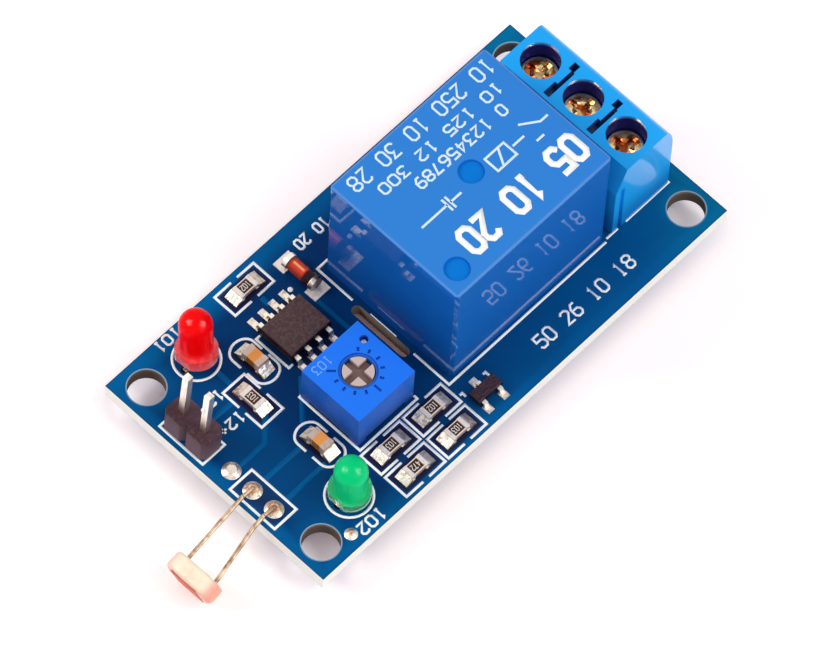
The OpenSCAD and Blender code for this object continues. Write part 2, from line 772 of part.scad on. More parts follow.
module trimmer_body() {
    w = trim_w / 2;
    color("dodgerblue") translate([trim_x, trim_y, 0]) difference() {
        union() {
            span([-w, -w, trim_bottom], [w, w, trim_top]);
            for (x = [-w, w - trim_foot_w]) for (y = [-w, w - trim_foot_w])
                translate([x, y, board_t]) cube([trim_foot_w, trim_foot_w, trim_foot + eps]);
        }
        translate([0, 0, board_t - 1]) cylinder(d = trim_cavity_d, h = trim_top - trim_roof - board_t + 1);
        cylinder(d = rotor_d + 2 * rotor_gap, h = trim_top + 1);
        translate([0, 0, trim_top - dial_depth])
            cylinder(d = rotor_d + 2 * (rotor_gap + dial_ring), h = 1);
        for (p = trim_pins)
            translate([p[0], p[1], 0]) cylinder(d = trim_pin_d + 2 * fit, h = trim_top - pin_sink);
        translate([trim_pin_x, trim_pin_y, trim_top - pin_sink - eps])
            cylinder(d = pin_well_d, h = pin_sink + 1);
        for (i = [0:tick_count - 1]) rotate(tick_start + i * tick_step)
            translate([rotor_d / 2 + tick_out, -tick_w / 2, trim_top - tick_depth])
                cube([i % 5 == 0 && i < tick_count - 1 ? 2 * tick_l : tick_l, tick_w, 1]);
    }
}

module trimmer_rotor() {
    color("wheat") translate([trim_x, trim_y, 0]) difference() {
        union() {
            translate([0, 0, flange_z0]) cylinder(d = rotor_d, h = trim_top - fit - flange_z0);
            translate([0, 0, flange_z0]) cylinder(d = flange_d, h = flange_z1 - flange_z0);
        }
        for (a = [0, 90]) rotate(a)
            translate([0, 0, trim_top - fit]) cube([rotor_d + 1, cross_w, 2 * cross_depth], center = true);
    }
}

// Sprung strip under the rotor, with a foot that slides on the element
module trimmer_wiper() {
    r = flange_d / 2 - wiper_inset;
    color("goldenrod") translate([trim_x, trim_y, 0]) {
        span([-r, -wiper_w / 2, flange_z0 - wiper_t], [r, wiper_w / 2, flange_z0]);
        translate([r - wiper_inset, 0, flange_z0 - wiper_room + rotor_gap])
            cylinder(d = wiper_foot_d, h = wiper_room - rotor_gap);
    }
}

module trimmer_element() {
    color("white") translate([trim_x, trim_y, element_z0])
        cylinder(d = trim_cavity_d - 2 * fit, h = element_t);
}

module trimmer_pins() {
    ends = [trim_top - 0.75 * pin_sink, trim_bottom + pin_rise, element_z0];
    color("silver") translate([trim_x, trim_y, -tail_l]) for (i = [0:2])
        translate([trim_pins[i][0], trim_pins[i][1], 0]) cylinder(d = trim_pin_d, h = tail_l + ends[i]);
}

// Lead frame of a lamp in the lamp's own frame, with the lens underside at zero
module lamp_frame(grow) {
    w = lamp_lead_w + 2 * grow;
    post = dome_z - post_drop;
    gap = min(lens_d / 2 - lamp_lead_w, lamp_lead_gap / 2);
    for (s = [-1, 1])
        span([s * gap - w / 2, -w / 2, -grow], [s * gap + w / 2, w / 2, post + grow]);
    span([-gap - w / 2, -cup_w / 2 - grow, post - eps],
        [-cup_side + grow, cup_w / 2 + grow, dome_z - cup_drop + grow]);
    span([arm_side - grow, -arm_w / 2 - grow, post - eps],
        [gap + w / 2, arm_w / 2 + grow, dome_z - arm_drop + grow]);
}

module lamp_lens() {
    difference() {
        union() {
            cylinder(d = foot_d, h = foot_h);
            cylinder(d = lens_d, h = dome_z);
            translate([0, 0, dome_z]) sphere(d = lens_d);
        }
        span([-foot_d, -foot_d, -1], [-foot_d / 2 + lamp_flat, foot_d, foot_h + 1]);
        lamp_frame(fit / 2);
        translate([0, 0, -0.5]) lamp_frame(fit / 2);
    }
}

// Leads of a lamp: the frame in the lens, joined to straight legs through the board
module lamp_leads(x, y, raise, lean) {
    gap = min(lens_d / 2 - lamp_lead_w, lamp_lead_gap / 2);
    base = [x, y, board_t + raise];
    axis = [sin(lean) * cos(red_turn), sin(lean) * sin(red_turn), cos(lean)];
    translate(base) rotate([0, 0, red_turn]) rotate([0, lean, 0]) rotate([0, 0, -red_turn]) lamp_frame(0);
    for (s = [-1, 1]) {
        foot = [x + s * lamp_lead_gap / 2, y, board_t];
        up = base + s * gap * [cos(lean) * cos(red_turn) ^ 2 + sin(red_turn) ^ 2,
            (cos(lean) - 1) * sin(red_turn) * cos(red_turn), -sin(lean) * cos(red_turn)];
        bar(up + lead_up * axis, up - lead_down * axis, lamp_lead_w * 0.9);
        bar(up - lead_down * axis, foot, lamp_lead_w * 0.9);
        span([foot[0] - lamp_lead_w / 2, foot[1] - lamp_lead_w / 2, -tail_l],
            [foot[0] + lamp_lead_w / 2, foot[1] + lamp_lead_w / 2, board_t]);
    }
}

module red_lamp_lens() {
    color("red") translate([lamp_x, red_y, board_t + red_raise])
        rotate([0, 0, red_turn]) rotate([0, red_lean, 0]) rotate([0, 0, -red_turn]) lamp_lens();
}

module red_lamp_leads() {
    color("silver") lamp_leads(lamp_x, red_y, red_raise, red_lean);
}

module green_lamp_lens() {
    color("springgreen") translate([lamp_x, green_y, board_t + green_raise]) lamp_lens();
}

module green_lamp_leads() {
    color("silver") lamp_leads(lamp_x, green_y, green_raise, 0);
}

module lean_header() {
    translate([header_x, header_y, board_t]) rotate([0, header_lean, 0]) children();
}

header_lift = sin(header_lean) * pin_pitch / 2;

module header_block() {
    color("#2b2422") lean_header() difference() {
        translate([0, 0, header_lift]) linear_extrude(pin_pitch) for (i = [-0.5, 0.5])
            translate([0, i * pin_pitch]) cut_square(pin_pitch, pin_pitch + eps, header_cut);
        for (i = [-0.5, 0.5]) translate([0, i * pin_pitch, pin_pitch / 2])
            cube([header_pin_w + 2 * eps, header_pin_w + 2 * eps, 4 * pin_pitch], center = true);
    }
}

module header_pins() {
    w = header_pin_w / 2;
    z0 = -board_t - tail_l + 2 * fit;
    z1 = header_lift + pin_pitch + header_pin_l;
    side = [[-w, z0], [w, z0], [w, z1 - 2 * pin_tip], [w - pin_tip, z1],
        [-w + pin_tip, z1], [-w, z1 - 2 * pin_tip]];
    color("silver") lean_header() for (i = [-0.5, 0.5]) translate([0, i * pin_pitch, 0]) intersection() {
        rotate([90, 0, 0]) linear_extrude(header_pin_w, center = true) polygon(side);
        rotate([90, 0, 90]) linear_extrude(header_pin_w, center = true) polygon(side);
    }
}

// Places a part drawn with its face toward -X at the sensor's tilted seat
module at_sensor() {
    translate([disc_x, disc_y, disc_z]) rotate([0, -sensor_tilt, 0]) children();
}

module sensor_disc() {
    color("mistyrose") at_sensor() difference() {
        intersection() {
            rotate([0, 90, 0]) cylinder(d = sensor_d, h = sensor_t, center = true);
            cube([sensor_t + 1, sensor_d + 1, sensor_flat], center = true);
        }
        for (s = [-0.5, 0.5]) translate([sensor_t / 2 - lead_seat - fit, s * sensor_lead_span, 0])
            rotate([0, 90, 0]) cylinder(d = sensor_lead_d + 2 * fit, h = lead_seat + 1);
    }
}

// Winding light-sensitive track on the face of the disc
module sensor_track() {
    rows = 7;
    step = (sensor_flat - 2 * track_edge) / (rows - 1);
    reach = sensor_lead_span / 2 - lead_dip;
    color("tomato") at_sensor() translate([-sensor_t / 2, 0, 0]) rotate([90, 0, -90])
        linear_extrude(track_t) {
            for (i = [0:rows - 1]) translate([0, (i - (rows - 1) / 2) * step])
                square([2 * reach, track_w], center = true);
            for (i = [0:rows - 2])
                translate([(i % 2 == 0 ? 1 : -1) * (reach - track_w / 2), (i - (rows - 2) / 2) * step])
                    square([track_w, step + track_w - eps], center = true);
        }
}

module sensor_leads() {
    seat_x = disc_x + cos(sensor_tilt) * (sensor_t / 2 - lead_seat);
    exit_x = disc_x + cos(sensor_tilt) * (sensor_t / 2 + lead_exit);
    seat_z = disc_z + sin(sensor_tilt) * (sensor_t / 2 - lead_seat);
    exit_z = disc_z + sin(sensor_tilt) * (sensor_t / 2 + lead_exit);
    over_z = board_t + sensor_lead_d / 2 + lead_over;
    edge_x = left_x - lead_step;
    bend_x = left_x + lead_step - lead_over;
    color("silver") for (s = [-0.5, 0.5]) {
        seat_y = disc_y + s * sensor_lead_span;
        hole_y = sensor_y + s * pin_pitch;
        exit = [exit_x, seat_y, exit_z];
        edge = [edge_x, hole_y - lead_dip, over_z - lead_dip];
        crest = [bend_x, hole_y, over_z + lead_dip];
        bar([seat_x, seat_y, seat_z], exit, sensor_lead_d);
        bar(exit, edge, sensor_lead_d);
        bar(edge, crest, sensor_lead_d);
        bar(crest, [sensor_x, hole_y, over_z - lead_dip], sensor_lead_d);
        translate([sensor_x, hole_y, -tail_l]) cylinder(d = sensor_lead_d, h = tail_l + over_z - lead_dip);
    }
}

// Bent lead in side view, from the body side out to the end of its foot
module gull_lead(start, reach, foot, exit_z, w, t) {
    z0 = board_t + pad_t;
    bend = (start + reach - foot) / 2;
    rotate([90, 0, 90]) linear_extrude(w, center = true)
        polygon([[start, exit_z - t / 2], [bend, exit_z - t / 2], [reach - foot, z0], [reach, z0],
            [reach, z0 + t], [reach - foot + t, z0 + t], [bend + t, exit_z + t / 2],
            [start, exit_z + t / 2]]);
}

ic_lift = 0.1;
ic_draft = 0.12;
dot_d = 0.6;
dot_inset = 0.75;
dot_depth = 0.06;
ic_z0 = board_t + pad_t + ic_lift;
ic_z1 = board_t + ic_h;
ic_mid = (ic_z0 + ic_z1) / 2;

module comparator_body() {
    color("#33261f") translate([ic_x, ic_y, 0]) difference() {
        drafted(ic_l, ic_w, ic_z0, ic_z1, ic_lead_t, ic_draft);
        translate([ic_l / 2 - dot_inset, ic_w / 2 - dot_inset, ic_z1 - dot_depth])
            cylinder(d = dot_d, h = 1);
    }
}

module comparator_leads() {
    color("silver") translate([ic_x, ic_y, 0]) for (a = [0, 180]) rotate(a) for (i = [-1.5:1:1.5])
        translate([i * ic_pitch, 0, 0]) gull_lead(ic_w / 2, ic_reach, ic_foot, ic_mid, ic_lead_w, ic_lead_t);
}

diode_axis = board_t + pad_t + diode_d / 2;
diode_cap = 0.45;
diode_rim = 0.075;

module diode_glass() {
    color("orangered") translate([diode_x, diode_y, diode_axis]) rotate([90, 0, 0])
        cylinder(d = diode_d - 2 * diode_rim, h = diode_l - 2 * diode_cap, center = true);
}

module diode_ends() {
    color("silver") for (s = [-1, 1])
        translate([diode_x, diode_y + s * (diode_l - diode_cap) / 2, diode_axis]) rotate([90, 0, 0])
            cylinder(d = diode_d, h = diode_cap, center = true);
}

sot_draft = 0.08;
sot_foot = 0.25;
sot_z0 = board_t + pad_t + fit;
sot_z1 = board_t + sot_h;
sot_mid = (sot_z0 + sot_z1) / 2;

module transistor_body() {
    color("#241d1a") translate([transistor_x, transistor_y, 0])
        drafted(sot_l, sot_w, sot_z0, sot_z1, sot_lead_t, sot_draft);
}

module transistor_leads() {
    color("silver") translate([transistor_x, transistor_y, 0]) {
        gull_lead(sot_w / 2, sot_reach, sot_foot, sot_mid, sot_lead_w, sot_lead_t);
        for (s = [-1, 1]) translate([s * sot_pitch, 0, 0]) rotate(180)
            gull_lead(sot_w / 2, sot_reach, sot_foot, sot_mid, sot_lead_w, sot_lead_t);
    }
}

wrap = 0.03;
coat_edge = 0.075;

// Chip part lying on its pads: a plain bar between two wrapped metal ends, with a coat on top
module chip(place, h, coat) {
    translate([place[0], place[1], board_t + pad_t]) rotate(place[2]) {
        translate([0, 0, h / 2]) cube([chip_l - 2 * wrap, chip_w - 2 * wrap, h - 2 * wrap], center = true);
        for (s = [-1, 1]) translate([s * (chip_l - chip_end) / 2, 0, h / 2])
            cube([chip_end, chip_w, h], center = true);
        if (coat) translate([0, 0, h - wrap])
            cube([chip_l - 2 * (chip_end + fit), chip_w - 2 * coat_edge, 2 * wrap], center = true);
    }
}

module resistor(i) {
    color("#1d1a19") chip(resistors[i - 1], resistor_h, true);
}

module capacitor(i) {
    color("peru") chip(capacitors[i - 1], capacitor_h, false);
}

circuit_board();
pad_solder();
joint_solder();
relay_case();
relay_base();
relay_bobbin();
relay_winding();
relay_core();
relay_yoke();
relay_armature();
relay_moving_contact();
relay_open_contact();
relay_closed_contact();
relay_coil_pins();
relay_common_pin();
terminal_housing();
terminal_screw(0);  // terminal_screw_1
terminal_screw(1);  // terminal_screw_2
terminal_screw(2);  // terminal_screw_3
terminal_cage(0);  // terminal_cage_1
terminal_cage(1);  // terminal_cage_2
terminal_cage(2);  // terminal_cage_3
terminal_plates();
trimmer_body();
trimmer_rotor();
trimmer_wiper();
trimmer_element();
trimmer_pins();
red_lamp_lens();
red_lamp_leads();
green_lamp_lens();
green_lamp_leads();
header_block();
header_pins();
sensor_disc();
sensor_track();
sensor_leads();
comparator_body();
comparator_leads();
diode_glass();
diode_ends();
transistor_body();
transistor_leads();
resistor(1);  // resistor_1
resistor(2);  // resistor_2
resistor(3);  // resistor_3
resistor(4);  // resistor_4
resistor(5);  // resistor_5
resistor(6);  // resistor_6
capacitor(1);  // capacitor_1
capacitor(2);  // capacitor_2
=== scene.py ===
import math
import bmesh
import bpy
from mathutils import Matrix, Vector


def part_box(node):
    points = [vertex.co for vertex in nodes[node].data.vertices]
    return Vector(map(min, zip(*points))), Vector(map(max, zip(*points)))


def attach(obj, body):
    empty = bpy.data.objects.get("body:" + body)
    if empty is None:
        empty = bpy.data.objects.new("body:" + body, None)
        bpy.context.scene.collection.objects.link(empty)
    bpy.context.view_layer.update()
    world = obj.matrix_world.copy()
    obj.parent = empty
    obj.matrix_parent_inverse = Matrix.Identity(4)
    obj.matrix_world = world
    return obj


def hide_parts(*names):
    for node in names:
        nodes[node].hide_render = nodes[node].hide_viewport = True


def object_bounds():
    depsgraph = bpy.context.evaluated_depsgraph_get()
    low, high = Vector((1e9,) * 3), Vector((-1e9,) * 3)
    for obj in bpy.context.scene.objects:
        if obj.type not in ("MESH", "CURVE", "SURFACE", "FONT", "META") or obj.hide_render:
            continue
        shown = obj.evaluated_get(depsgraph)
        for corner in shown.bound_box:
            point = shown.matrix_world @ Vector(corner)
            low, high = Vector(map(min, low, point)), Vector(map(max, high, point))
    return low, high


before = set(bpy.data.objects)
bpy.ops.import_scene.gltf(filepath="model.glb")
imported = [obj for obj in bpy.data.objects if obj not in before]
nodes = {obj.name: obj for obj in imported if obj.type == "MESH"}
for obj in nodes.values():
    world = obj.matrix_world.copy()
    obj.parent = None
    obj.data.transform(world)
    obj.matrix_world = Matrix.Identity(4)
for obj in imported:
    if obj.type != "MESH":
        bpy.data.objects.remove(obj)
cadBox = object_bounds()
scene = bpy.context.scene
mm = 0.001
print("frame loaded:", len(nodes), "nodes")


def newObject(name, data):
    made = bpy.data.objects.new(name, data)
    scene.collection.objects.link(made)
    return made


class Wire:
    # a node's output that can be used in a Python sum
    def __init__(self, recipe, socket):
        self.recipe = recipe
        self.socket = socket

    def maths(self, operation, other=None, flip=False):
        first, second = (other, self) if flip else (self, other)
        sockets = {0: first} if other is None else {0: first, 1: second}
        return self.recipe.add("ShaderNodeMath", {"operation": operation}, sockets)

    def output(self, name): return Wire(self.recipe, self.socket.node.outputs[name])
    def least(self, other): return self.maths("MINIMUM", other)
    def most(self, other): return self.maths("MAXIMUM", other)
    def __add__(self, other): return self.maths("ADD", other)
    def __radd__(self, other): return self.maths("ADD", other)
    def __sub__(self, other): return self.maths("SUBTRACT", other)
    def __rsub__(self, other): return self.maths("SUBTRACT", other, flip=True)
    def __mul__(self, other): return self.maths("MULTIPLY", other)
    def __rmul__(self, other): return self.maths("MULTIPLY", other)
    def __abs__(self): return self.maths("ABSOLUTE")


def opaque(colour):
    return (*colour, 1.0) if isinstance(colour, tuple) else colour


class Recipe:
    # builds the nodes of one material, or of the world
    def __init__(self, tree):
        self.tree = tree
        tree.nodes.clear()

    def add(self, kind, settings=None, sockets=None, out=0):
        node = self.tree.nodes.new(kind)
        for key, value in (settings or {}).items():
            setattr(node, key, value)
        for key, value in (sockets or {}).items():
            if isinstance(value, Wire):
                self.tree.links.new(value.socket, node.inputs[key])
            else:
                node.inputs[key].default_value = value
        return Wire(self, node.outputs[out]) if len(node.outputs) else None

    def looked(self):
        # 1 for what the camera, a mirror or glass looks at, 0 for what only gives light
        rays = self.add("ShaderNodeLightPath", None, None, "Is Camera Ray")
        return rays.most(rays.output("Is Glossy Ray")).most(rays.output("Is Transmission Ray"))

    def either(self, factor, first, second):
        return self.add("ShaderNodeMixShader", None, {0: factor, 1: first, 2: second})


class Finish(Recipe):
    # a material that knows where it is on the part, in millimetres
    def __init__(self, name):
        self.material = bpy.data.materials.new(name)
        self.material.use_nodes = True
        super().__init__(self.material.node_tree)
        coords = self.add("ShaderNodeTexCoord", None, None, "Object")
        self.point = self.add("ShaderNodeVectorMath", {"operation": "SCALE"}, {0: coords, "Scale": 1 / mm})
        parts = self.add("ShaderNodeSeparateXYZ", None, {0: self.point})
        self.x, self.y, self.z = parts.output("X"), parts.output("Y"), parts.output("Z")

    def step(self, value, low, high):
        # 0 below low and 1 above high, smooth between
        return self.add("ShaderNodeMapRange", {"interpolation_type": "SMOOTHSTEP"},
                        {"Value": value, "From Min": low, "From Max": high})

    def band(self, value, low, high, soft=0.02):
        return self.step(value, low - soft, low + soft) * (1 - self.step(value, high - soft, high + soft))

    def distance(self, x, y):
        dx, dy = self.x - x, self.y - y
        return (dx * dx + dy * dy).maths("SQRT")

    def noise(self, scale, detail=3.0, rough=0.5, stretch=None):
        # scale is in grains for each millimetre
        place = self.point
        if stretch is not None:
            place = self.add("ShaderNodeVectorMath", {"operation": "MULTIPLY"}, {0: self.point, 1: stretch})
        return self.add("ShaderNodeTexNoise", None,
                        {"Vector": place, "Scale": scale, "Detail": detail, "Roughness": rough})

    def mix(self, factor, first, second):
        colours = {0: factor, 6: opaque(first), 7: opaque(second)}
        return self.add("ShaderNodeMix", {"data_type": "RGBA"}, colours, 2)

    def bump(self, height, strength, depth):
        # depth is in millimetres
        return self.add("ShaderNodeBump", None, {"Height": height, "Strength": strength, "Distance": depth * mm})

    def shader(self, colour, rough, normal, **more):
        names = {"metallic": "Metallic", "transmission": "Transmission Weight", "coat": "Coat Weight",
                 "coatRough": "Coat Roughness", "ior": "IOR", "subsurface": "Subsurface Weight",
                 "reach": "Subsurface Radius", "shine": "Specular IOR Level"}
        sockets = {"Base Color": opaque(colour), "Roughness": rough, "Normal": normal}
        sockets.update({names[key]: value for key, value in more.items()})
        return self.add("ShaderNodeBsdfPrincipled", None, sockets)

    def close(self, shader):
        self.add("ShaderNodeOutputMaterial", None, {"Surface": shader})
        return self.material

    def done(self, colour, rough, normal, **more):
        return self.close(self.shader(colour, rough, normal, **more))


def paint(material, *names):
    for name in names:
        mesh = nodes[name].data
        mesh.materials.clear()
        mesh.materials.append(material)


cameraPlan = {
    "place": (-0.28196, -0.23844, 0.71039),    # metres from the middle of the four mounting holes
    "forward": (0.35009, 0.29732, -0.88828),
    "right": (0.69453, -0.71869, 0.03317),
    "lens": 411.8, "sensor": 36,               # millimetres
    "nearest": 0.01, "farthest": 20,
}


def placeCamera(plan):
    camera = newObject("photoCamera", bpy.data.cameras.new("photoCamera"))
    forward = Vector(plan["forward"]).normalized()
    right = Vector(plan["right"])
    right = (right - forward * right.dot(forward)).normalized()
    turn = Matrix((right, right.cross(forward), -forward)).transposed().to_4x4()
    camera.matrix_world = Matrix.Translation(plan["place"]) @ turn
    camera.data.lens, camera.data.sensor_width = plan["lens"], plan["sensor"]
    camera.data.clip_start, camera.data.clip_end = plan["nearest"], plan["farthest"]
    scene.camera = camera


placeCamera(cameraPlan)

lightPlan = {
    "sky": 0.55,    # even light from all round
    "reach": 0.7,   # metres from the part to each lamp
    "lamps": {
        "leftBox": {"from": (-0.55, 0.65, 0.62), "power": 1.9, "size": 0.26},
        "rightBox": {"from": (0.30, -0.46, 0.84), "power": 0.9, "size": 0.20},
        "frontBox": {"from": (0.05, -0.90, 0.42), "power": 1.5, "size": 0.50},
    },
}
gleamPlan = {    # round lamps that are seen only as highlights on the lenses and the terminal screws
    "from": {"leftGleam": (-0.556, 0.401, 0.737), "rightGleam": (0.336, -0.709, 0.633)},
    "power": 14.0, "size": 0.50,
    "seenIn": ("red_lamp_lens", "green_lamp_lens", "terminal_screw_1", "terminal_screw_2", "terminal_screw_3"),
}


def makeWorld(plan):
    world = bpy.data.worlds.new("studio")
    world.use_nodes = True
    scene.world = world
    sky, white = Recipe(world.node_tree), opaque((1.0, 1.0, 1.0))
    looked = sky.looked()
    light = sky.add("ShaderNodeBackground", None, {"Color": white, "Strength": plan["sky"]})
    backdrop = sky.add("ShaderNodeBackground", None, {"Color": white, "Strength": 1.0})
    sky.add("ShaderNodeOutputWorld", None, {"Surface": sky.either(looked, light, backdrop)})


def areaLamp(name, towards, power, size, shape="SQUARE"):
    # a lamp that faces the part
    lamp = newObject(name, bpy.data.lights.new(name, "AREA"))
    lamp.data.energy, lamp.data.size, lamp.data.shape = power, size, shape
    turn = towards.to_track_quat("Z", "Y").to_matrix().to_4x4()
    lamp.matrix_world = Matrix.Translation(towards * lightPlan["reach"]) @ turn
    return lamp


makeWorld(lightPlan)
for name, plan in lightPlan["lamps"].items():
    areaLamp(name, Vector(plan["from"]).normalized(), plan["power"], plan["size"])
glossyPieces = bpy.data.collections.new("glossyPieces")
for name in gleamPlan["seenIn"]:
    glossyPieces.objects.link(nodes[name])
for name, place in gleamPlan["from"].items():
    lamp = areaLamp(name, Vector(place), gleamPlan["power"], gleamPlan["size"], "DISK")
    lamp.visible_diffuse = False
    lamp.visible_transmission = False
    lamp.light_linking.receiver_collection = glossyPieces
scene.view_settings.view_transform = "Standard"

floorPlan = {
    "half": 4.0, "below": 0.02,     # metres to each side, and millimetres under the lowest lead
    "paper": (0.90, 0.88, 0.88),    # what the part is lit by
    "ink": (1.23, 1.175, 1.19),     # what the camera sees; above 1, so that faint shadow is white
    "glow": (0.085, 0.040, 0.036),  # the warmth of the deep shadows
}


def makeFloor(plan):
    half, low = plan["half"], cadBox[0][2] - plan["below"] * mm
    mesh = bpy.data.meshes.new("paleFloor")
    corners = [(-half, -half, low), (half, -half, low), (half, half, low), (-half, half, low)]
    mesh.from_pydata(corners, [], [(0, 1, 2, 3)])
    floor = newObject("paleFloor", mesh)
    paper = Finish("palePaper")
    looked = paper.looked()
    body = paper.add("ShaderNodeBsdfDiffuse", None, {"Color": opaque(plan["paper"])})
    ink = paper.add("ShaderNodeBsdfDiffuse", None, {"Color": opaque(plan["ink"])})
    glow = paper.add("ShaderNodeEmission", None, {"Color": opaque(plan["glow"]), "Strength": 1.0})
    lit = paper.add("ShaderNodeAddShader", None, {0: ink, 1: glow})
    mesh.materials.append(paper.close(paper.either(looked, body, lit)))


makeFloor(floorPlan)
print("camera, lamps and floor placed")

boardPlan = {
    "halfLength": 25.0, "halfWidth": 13.0, "thickness": 1.6, "holeX": 22.6, "holeY": 10.4, "holeRadius": 1.7,
    "ring": 0.10,                       # pale rim that the mask leaves round each mounting hole
    "deep": (0.0006, 0.034, 0.142),     # mask over bare laminate
    "violet": (0.010, 0.014, 0.120),    # darker clouds in it
    "pour": (0.0006, 0.118, 0.345),     # mask over copper
    "teal": (0.0006, 0.185, 0.36),      # mask over copper at the far end
    "bareAndShade": (0.016, 0.009, 0.032),      # dark ground between the pads of a chip: bare laminate with painted shade
    "grain": (0.003, 0.09, 0.22), "rim": (0.40, 0.50, 0.52), "cutEdge": (0.004, 0.060, 0.120),
    "laminate": (0.88, 0.87, 0.83), "speck": (0.86, 0.70, 0.62), "seam": (0.62, 0.66, 0.66),    # sawn outer sides
    "shadedWall": (0.085, 0.056, 0.044), "litUpperWall": (0.34, 0.28, 0.24),                             # painted shade inside the holes, lighter towards the top
    # the milled slot's walls are painted shade too, a little lighter
    "slotX": -4.6, "slotWall": (0.33, 0.24, 0.18),
    "bareShadeBoxes": [                      # x0, x1, y0, y1 and how dark
        (-12.35, -7.6, 9.85, 12.35, 0.85), (-18.4, -15.8, 0.75, 5.4, 0.85), (-14.4, -9.6, -9.6, -7.1, 0.85),
        (-9.3, -4.6, -9.6, -7.1, 0.85), (-14.4, -9.6, -12.55, -9.95, 0.85), (-9.3, -4.6, -12.55, -9.95, 0.85),
        (-15.5, -13.1, 3.6, 7.7, 0.85), (-17.25, -14.85, -5.9, -1.85, 0.85), (-24.5, -21.85, -6.75, -1.45, 0.45),
        (-12.4, -7.4, 2.0, 8.2, 0.55), (-6.5, -4.6, 6.6, 8.4, 0.5)],
}


def boardFinish(plan, name="glossySolderMask", raised=False):
    # raised is for the traces, which stand up under the mask
    f = Finish(name)
    top = plan["thickness"]
    toSide = plan["halfWidth"] - abs(f.y)
    edgeGap = (plan["halfLength"] - abs(f.x)).least(toSide)
    cloud, fine, far = f.noise(0.22, 2.0), f.noise(14.0, 2.0), f.step(f.x, 15.0, 24.0)
    dx, dy = abs(f.x) - plan["holeX"], abs(f.y) - plan["holeY"]
    toHole = (dx * dx + dy * dy).maths("SQRT")
    # copper under the mask along the long edges, the border, the relay's side, the holes and the near end, over a soft
    # slope of lighter mask across the board
    alongEdge = (0.62 + f.step(f.x, 0.0, 8.0) * 0.33 + f.step(f.y, -4.0, 4.0) * 0.33).least(0.95)
    pour = f.step(f.x * 0.5 - f.y + cloud * 6.0, 2.0, 20.0) * 0.6
    for area in ((1 - f.step(toSide + cloud * 0.8, 0.9, 3.4)) * alongEdge,
                 (1 - f.step(edgeGap, 0.5, 2.0)) * 0.8,
                 f.step(f.x, 1.0, 8.0) * (1 - f.step(f.y + cloud, -11.0, -7.4)) * 0.72,
                 (1 - f.step(toHole + cloud * 1.5, 2.4, 5.2)) * (0.45 + far * 0.4),
                 1 - f.step(abs(f.x + 20.5), 1.5, 7.0) - 0.72):
        pour = pour.most(area)
    weave = (f.x * 9.0).maths("SINE") * (f.y * 9.0).maths("SINE")
    surface = f.bump(weave * 0.12 + fine * 0.3, 0.10, 0.02)
    if raised:
        blue = f.mix(fine * 0.10, f.mix(pour * 0.3 + 0.72, plan["deep"], plan["pour"]), plan["grain"])
        return f.done(blue, 0.18 + fine * 0.06, surface, shine=0.03, ior=1.5)
    copper = f.mix(far * 0.8, plan["pour"], plan["teal"])
    clouds = f.step(f.noise(1.3, 4.0, 0.7), 0.48, 0.70) * (1 - pour) * 0.45
    ground = f.mix(clouds, plan["deep"], plan["violet"])
    blue = f.mix(fine * 0.10, f.mix(pour, ground, copper), plan["grain"])
    # dark ground round the chips and under the header: partly bare laminate, partly painted shade
    for x0, x1, y0, y1, share in plan["bareShadeBoxes"]:
        outX = abs(f.x - (x0 + x1) / 2) - (x1 - x0) / 2
        outY = abs(f.y - (y0 + y1) / 2) - (y1 - y0) / 2
        blue = f.mix((1 - f.step(outX.most(outY), -0.35, -0.10)) * share, blue, plan["bareAndShade"])
    rimEnd = plan["holeRadius"] + plan["ring"]
    rim = 1 - f.step(toHole, rimEnd - 0.03, rimEnd + 0.03)
    face = f.mix(rim * 0.7, blue, plan["rim"])
    face = f.mix((1 - f.step(edgeGap, 0.06, 0.16)) * 0.5, face, plan["cutEdge"])
    side = f.step(f.z, 0.01, 0.03) * (1 - f.step(f.z, top - 0.03, top - 0.01))
    fibre = f.noise(5.0, 4.0, 0.6, (1, 1, 6))
    inSlot = 1 - f.step(abs(f.x - plan["slotX"]), 0.7, 0.8)
    # painted shade on the hole and slot walls, lighter towards the top
    shadedWall = f.mix(f.step(f.z, 1.1, 1.5) * 0.4 + fibre * 0.3, plan["shadedWall"], plan["litUpperWall"])
    shadedWall = f.mix(inSlot * 0.8, shadedWall, plan["slotWall"])
    mask = f.shader(f.mix(side, face, shadedWall), 0.16 + side * 0.55 + fine * 0.06, surface, shine=0.03, ior=1.5)
    speck = f.step(f.noise(3.2, 4.0, 0.75, (1, 1, 3)), 0.50, 0.66)
    pale = f.mix(speck * 0.30, plan["laminate"], plan["speck"])
    pale = f.mix(f.band(f.z, 0.72, 0.86, 0.05) * 0.10, pale, plan["seam"])
    fibreEdge = f.shader(pale, 0.30 + fibre * 0.15, surface, shine=0.5, ior=1.5)
    outer = 1 - f.step(edgeGap, 0.02, 0.05)
    return f.close(f.either(side * outer, mask, fibreEdge))


paint(boardFinish(boardPlan), "circuit_board")

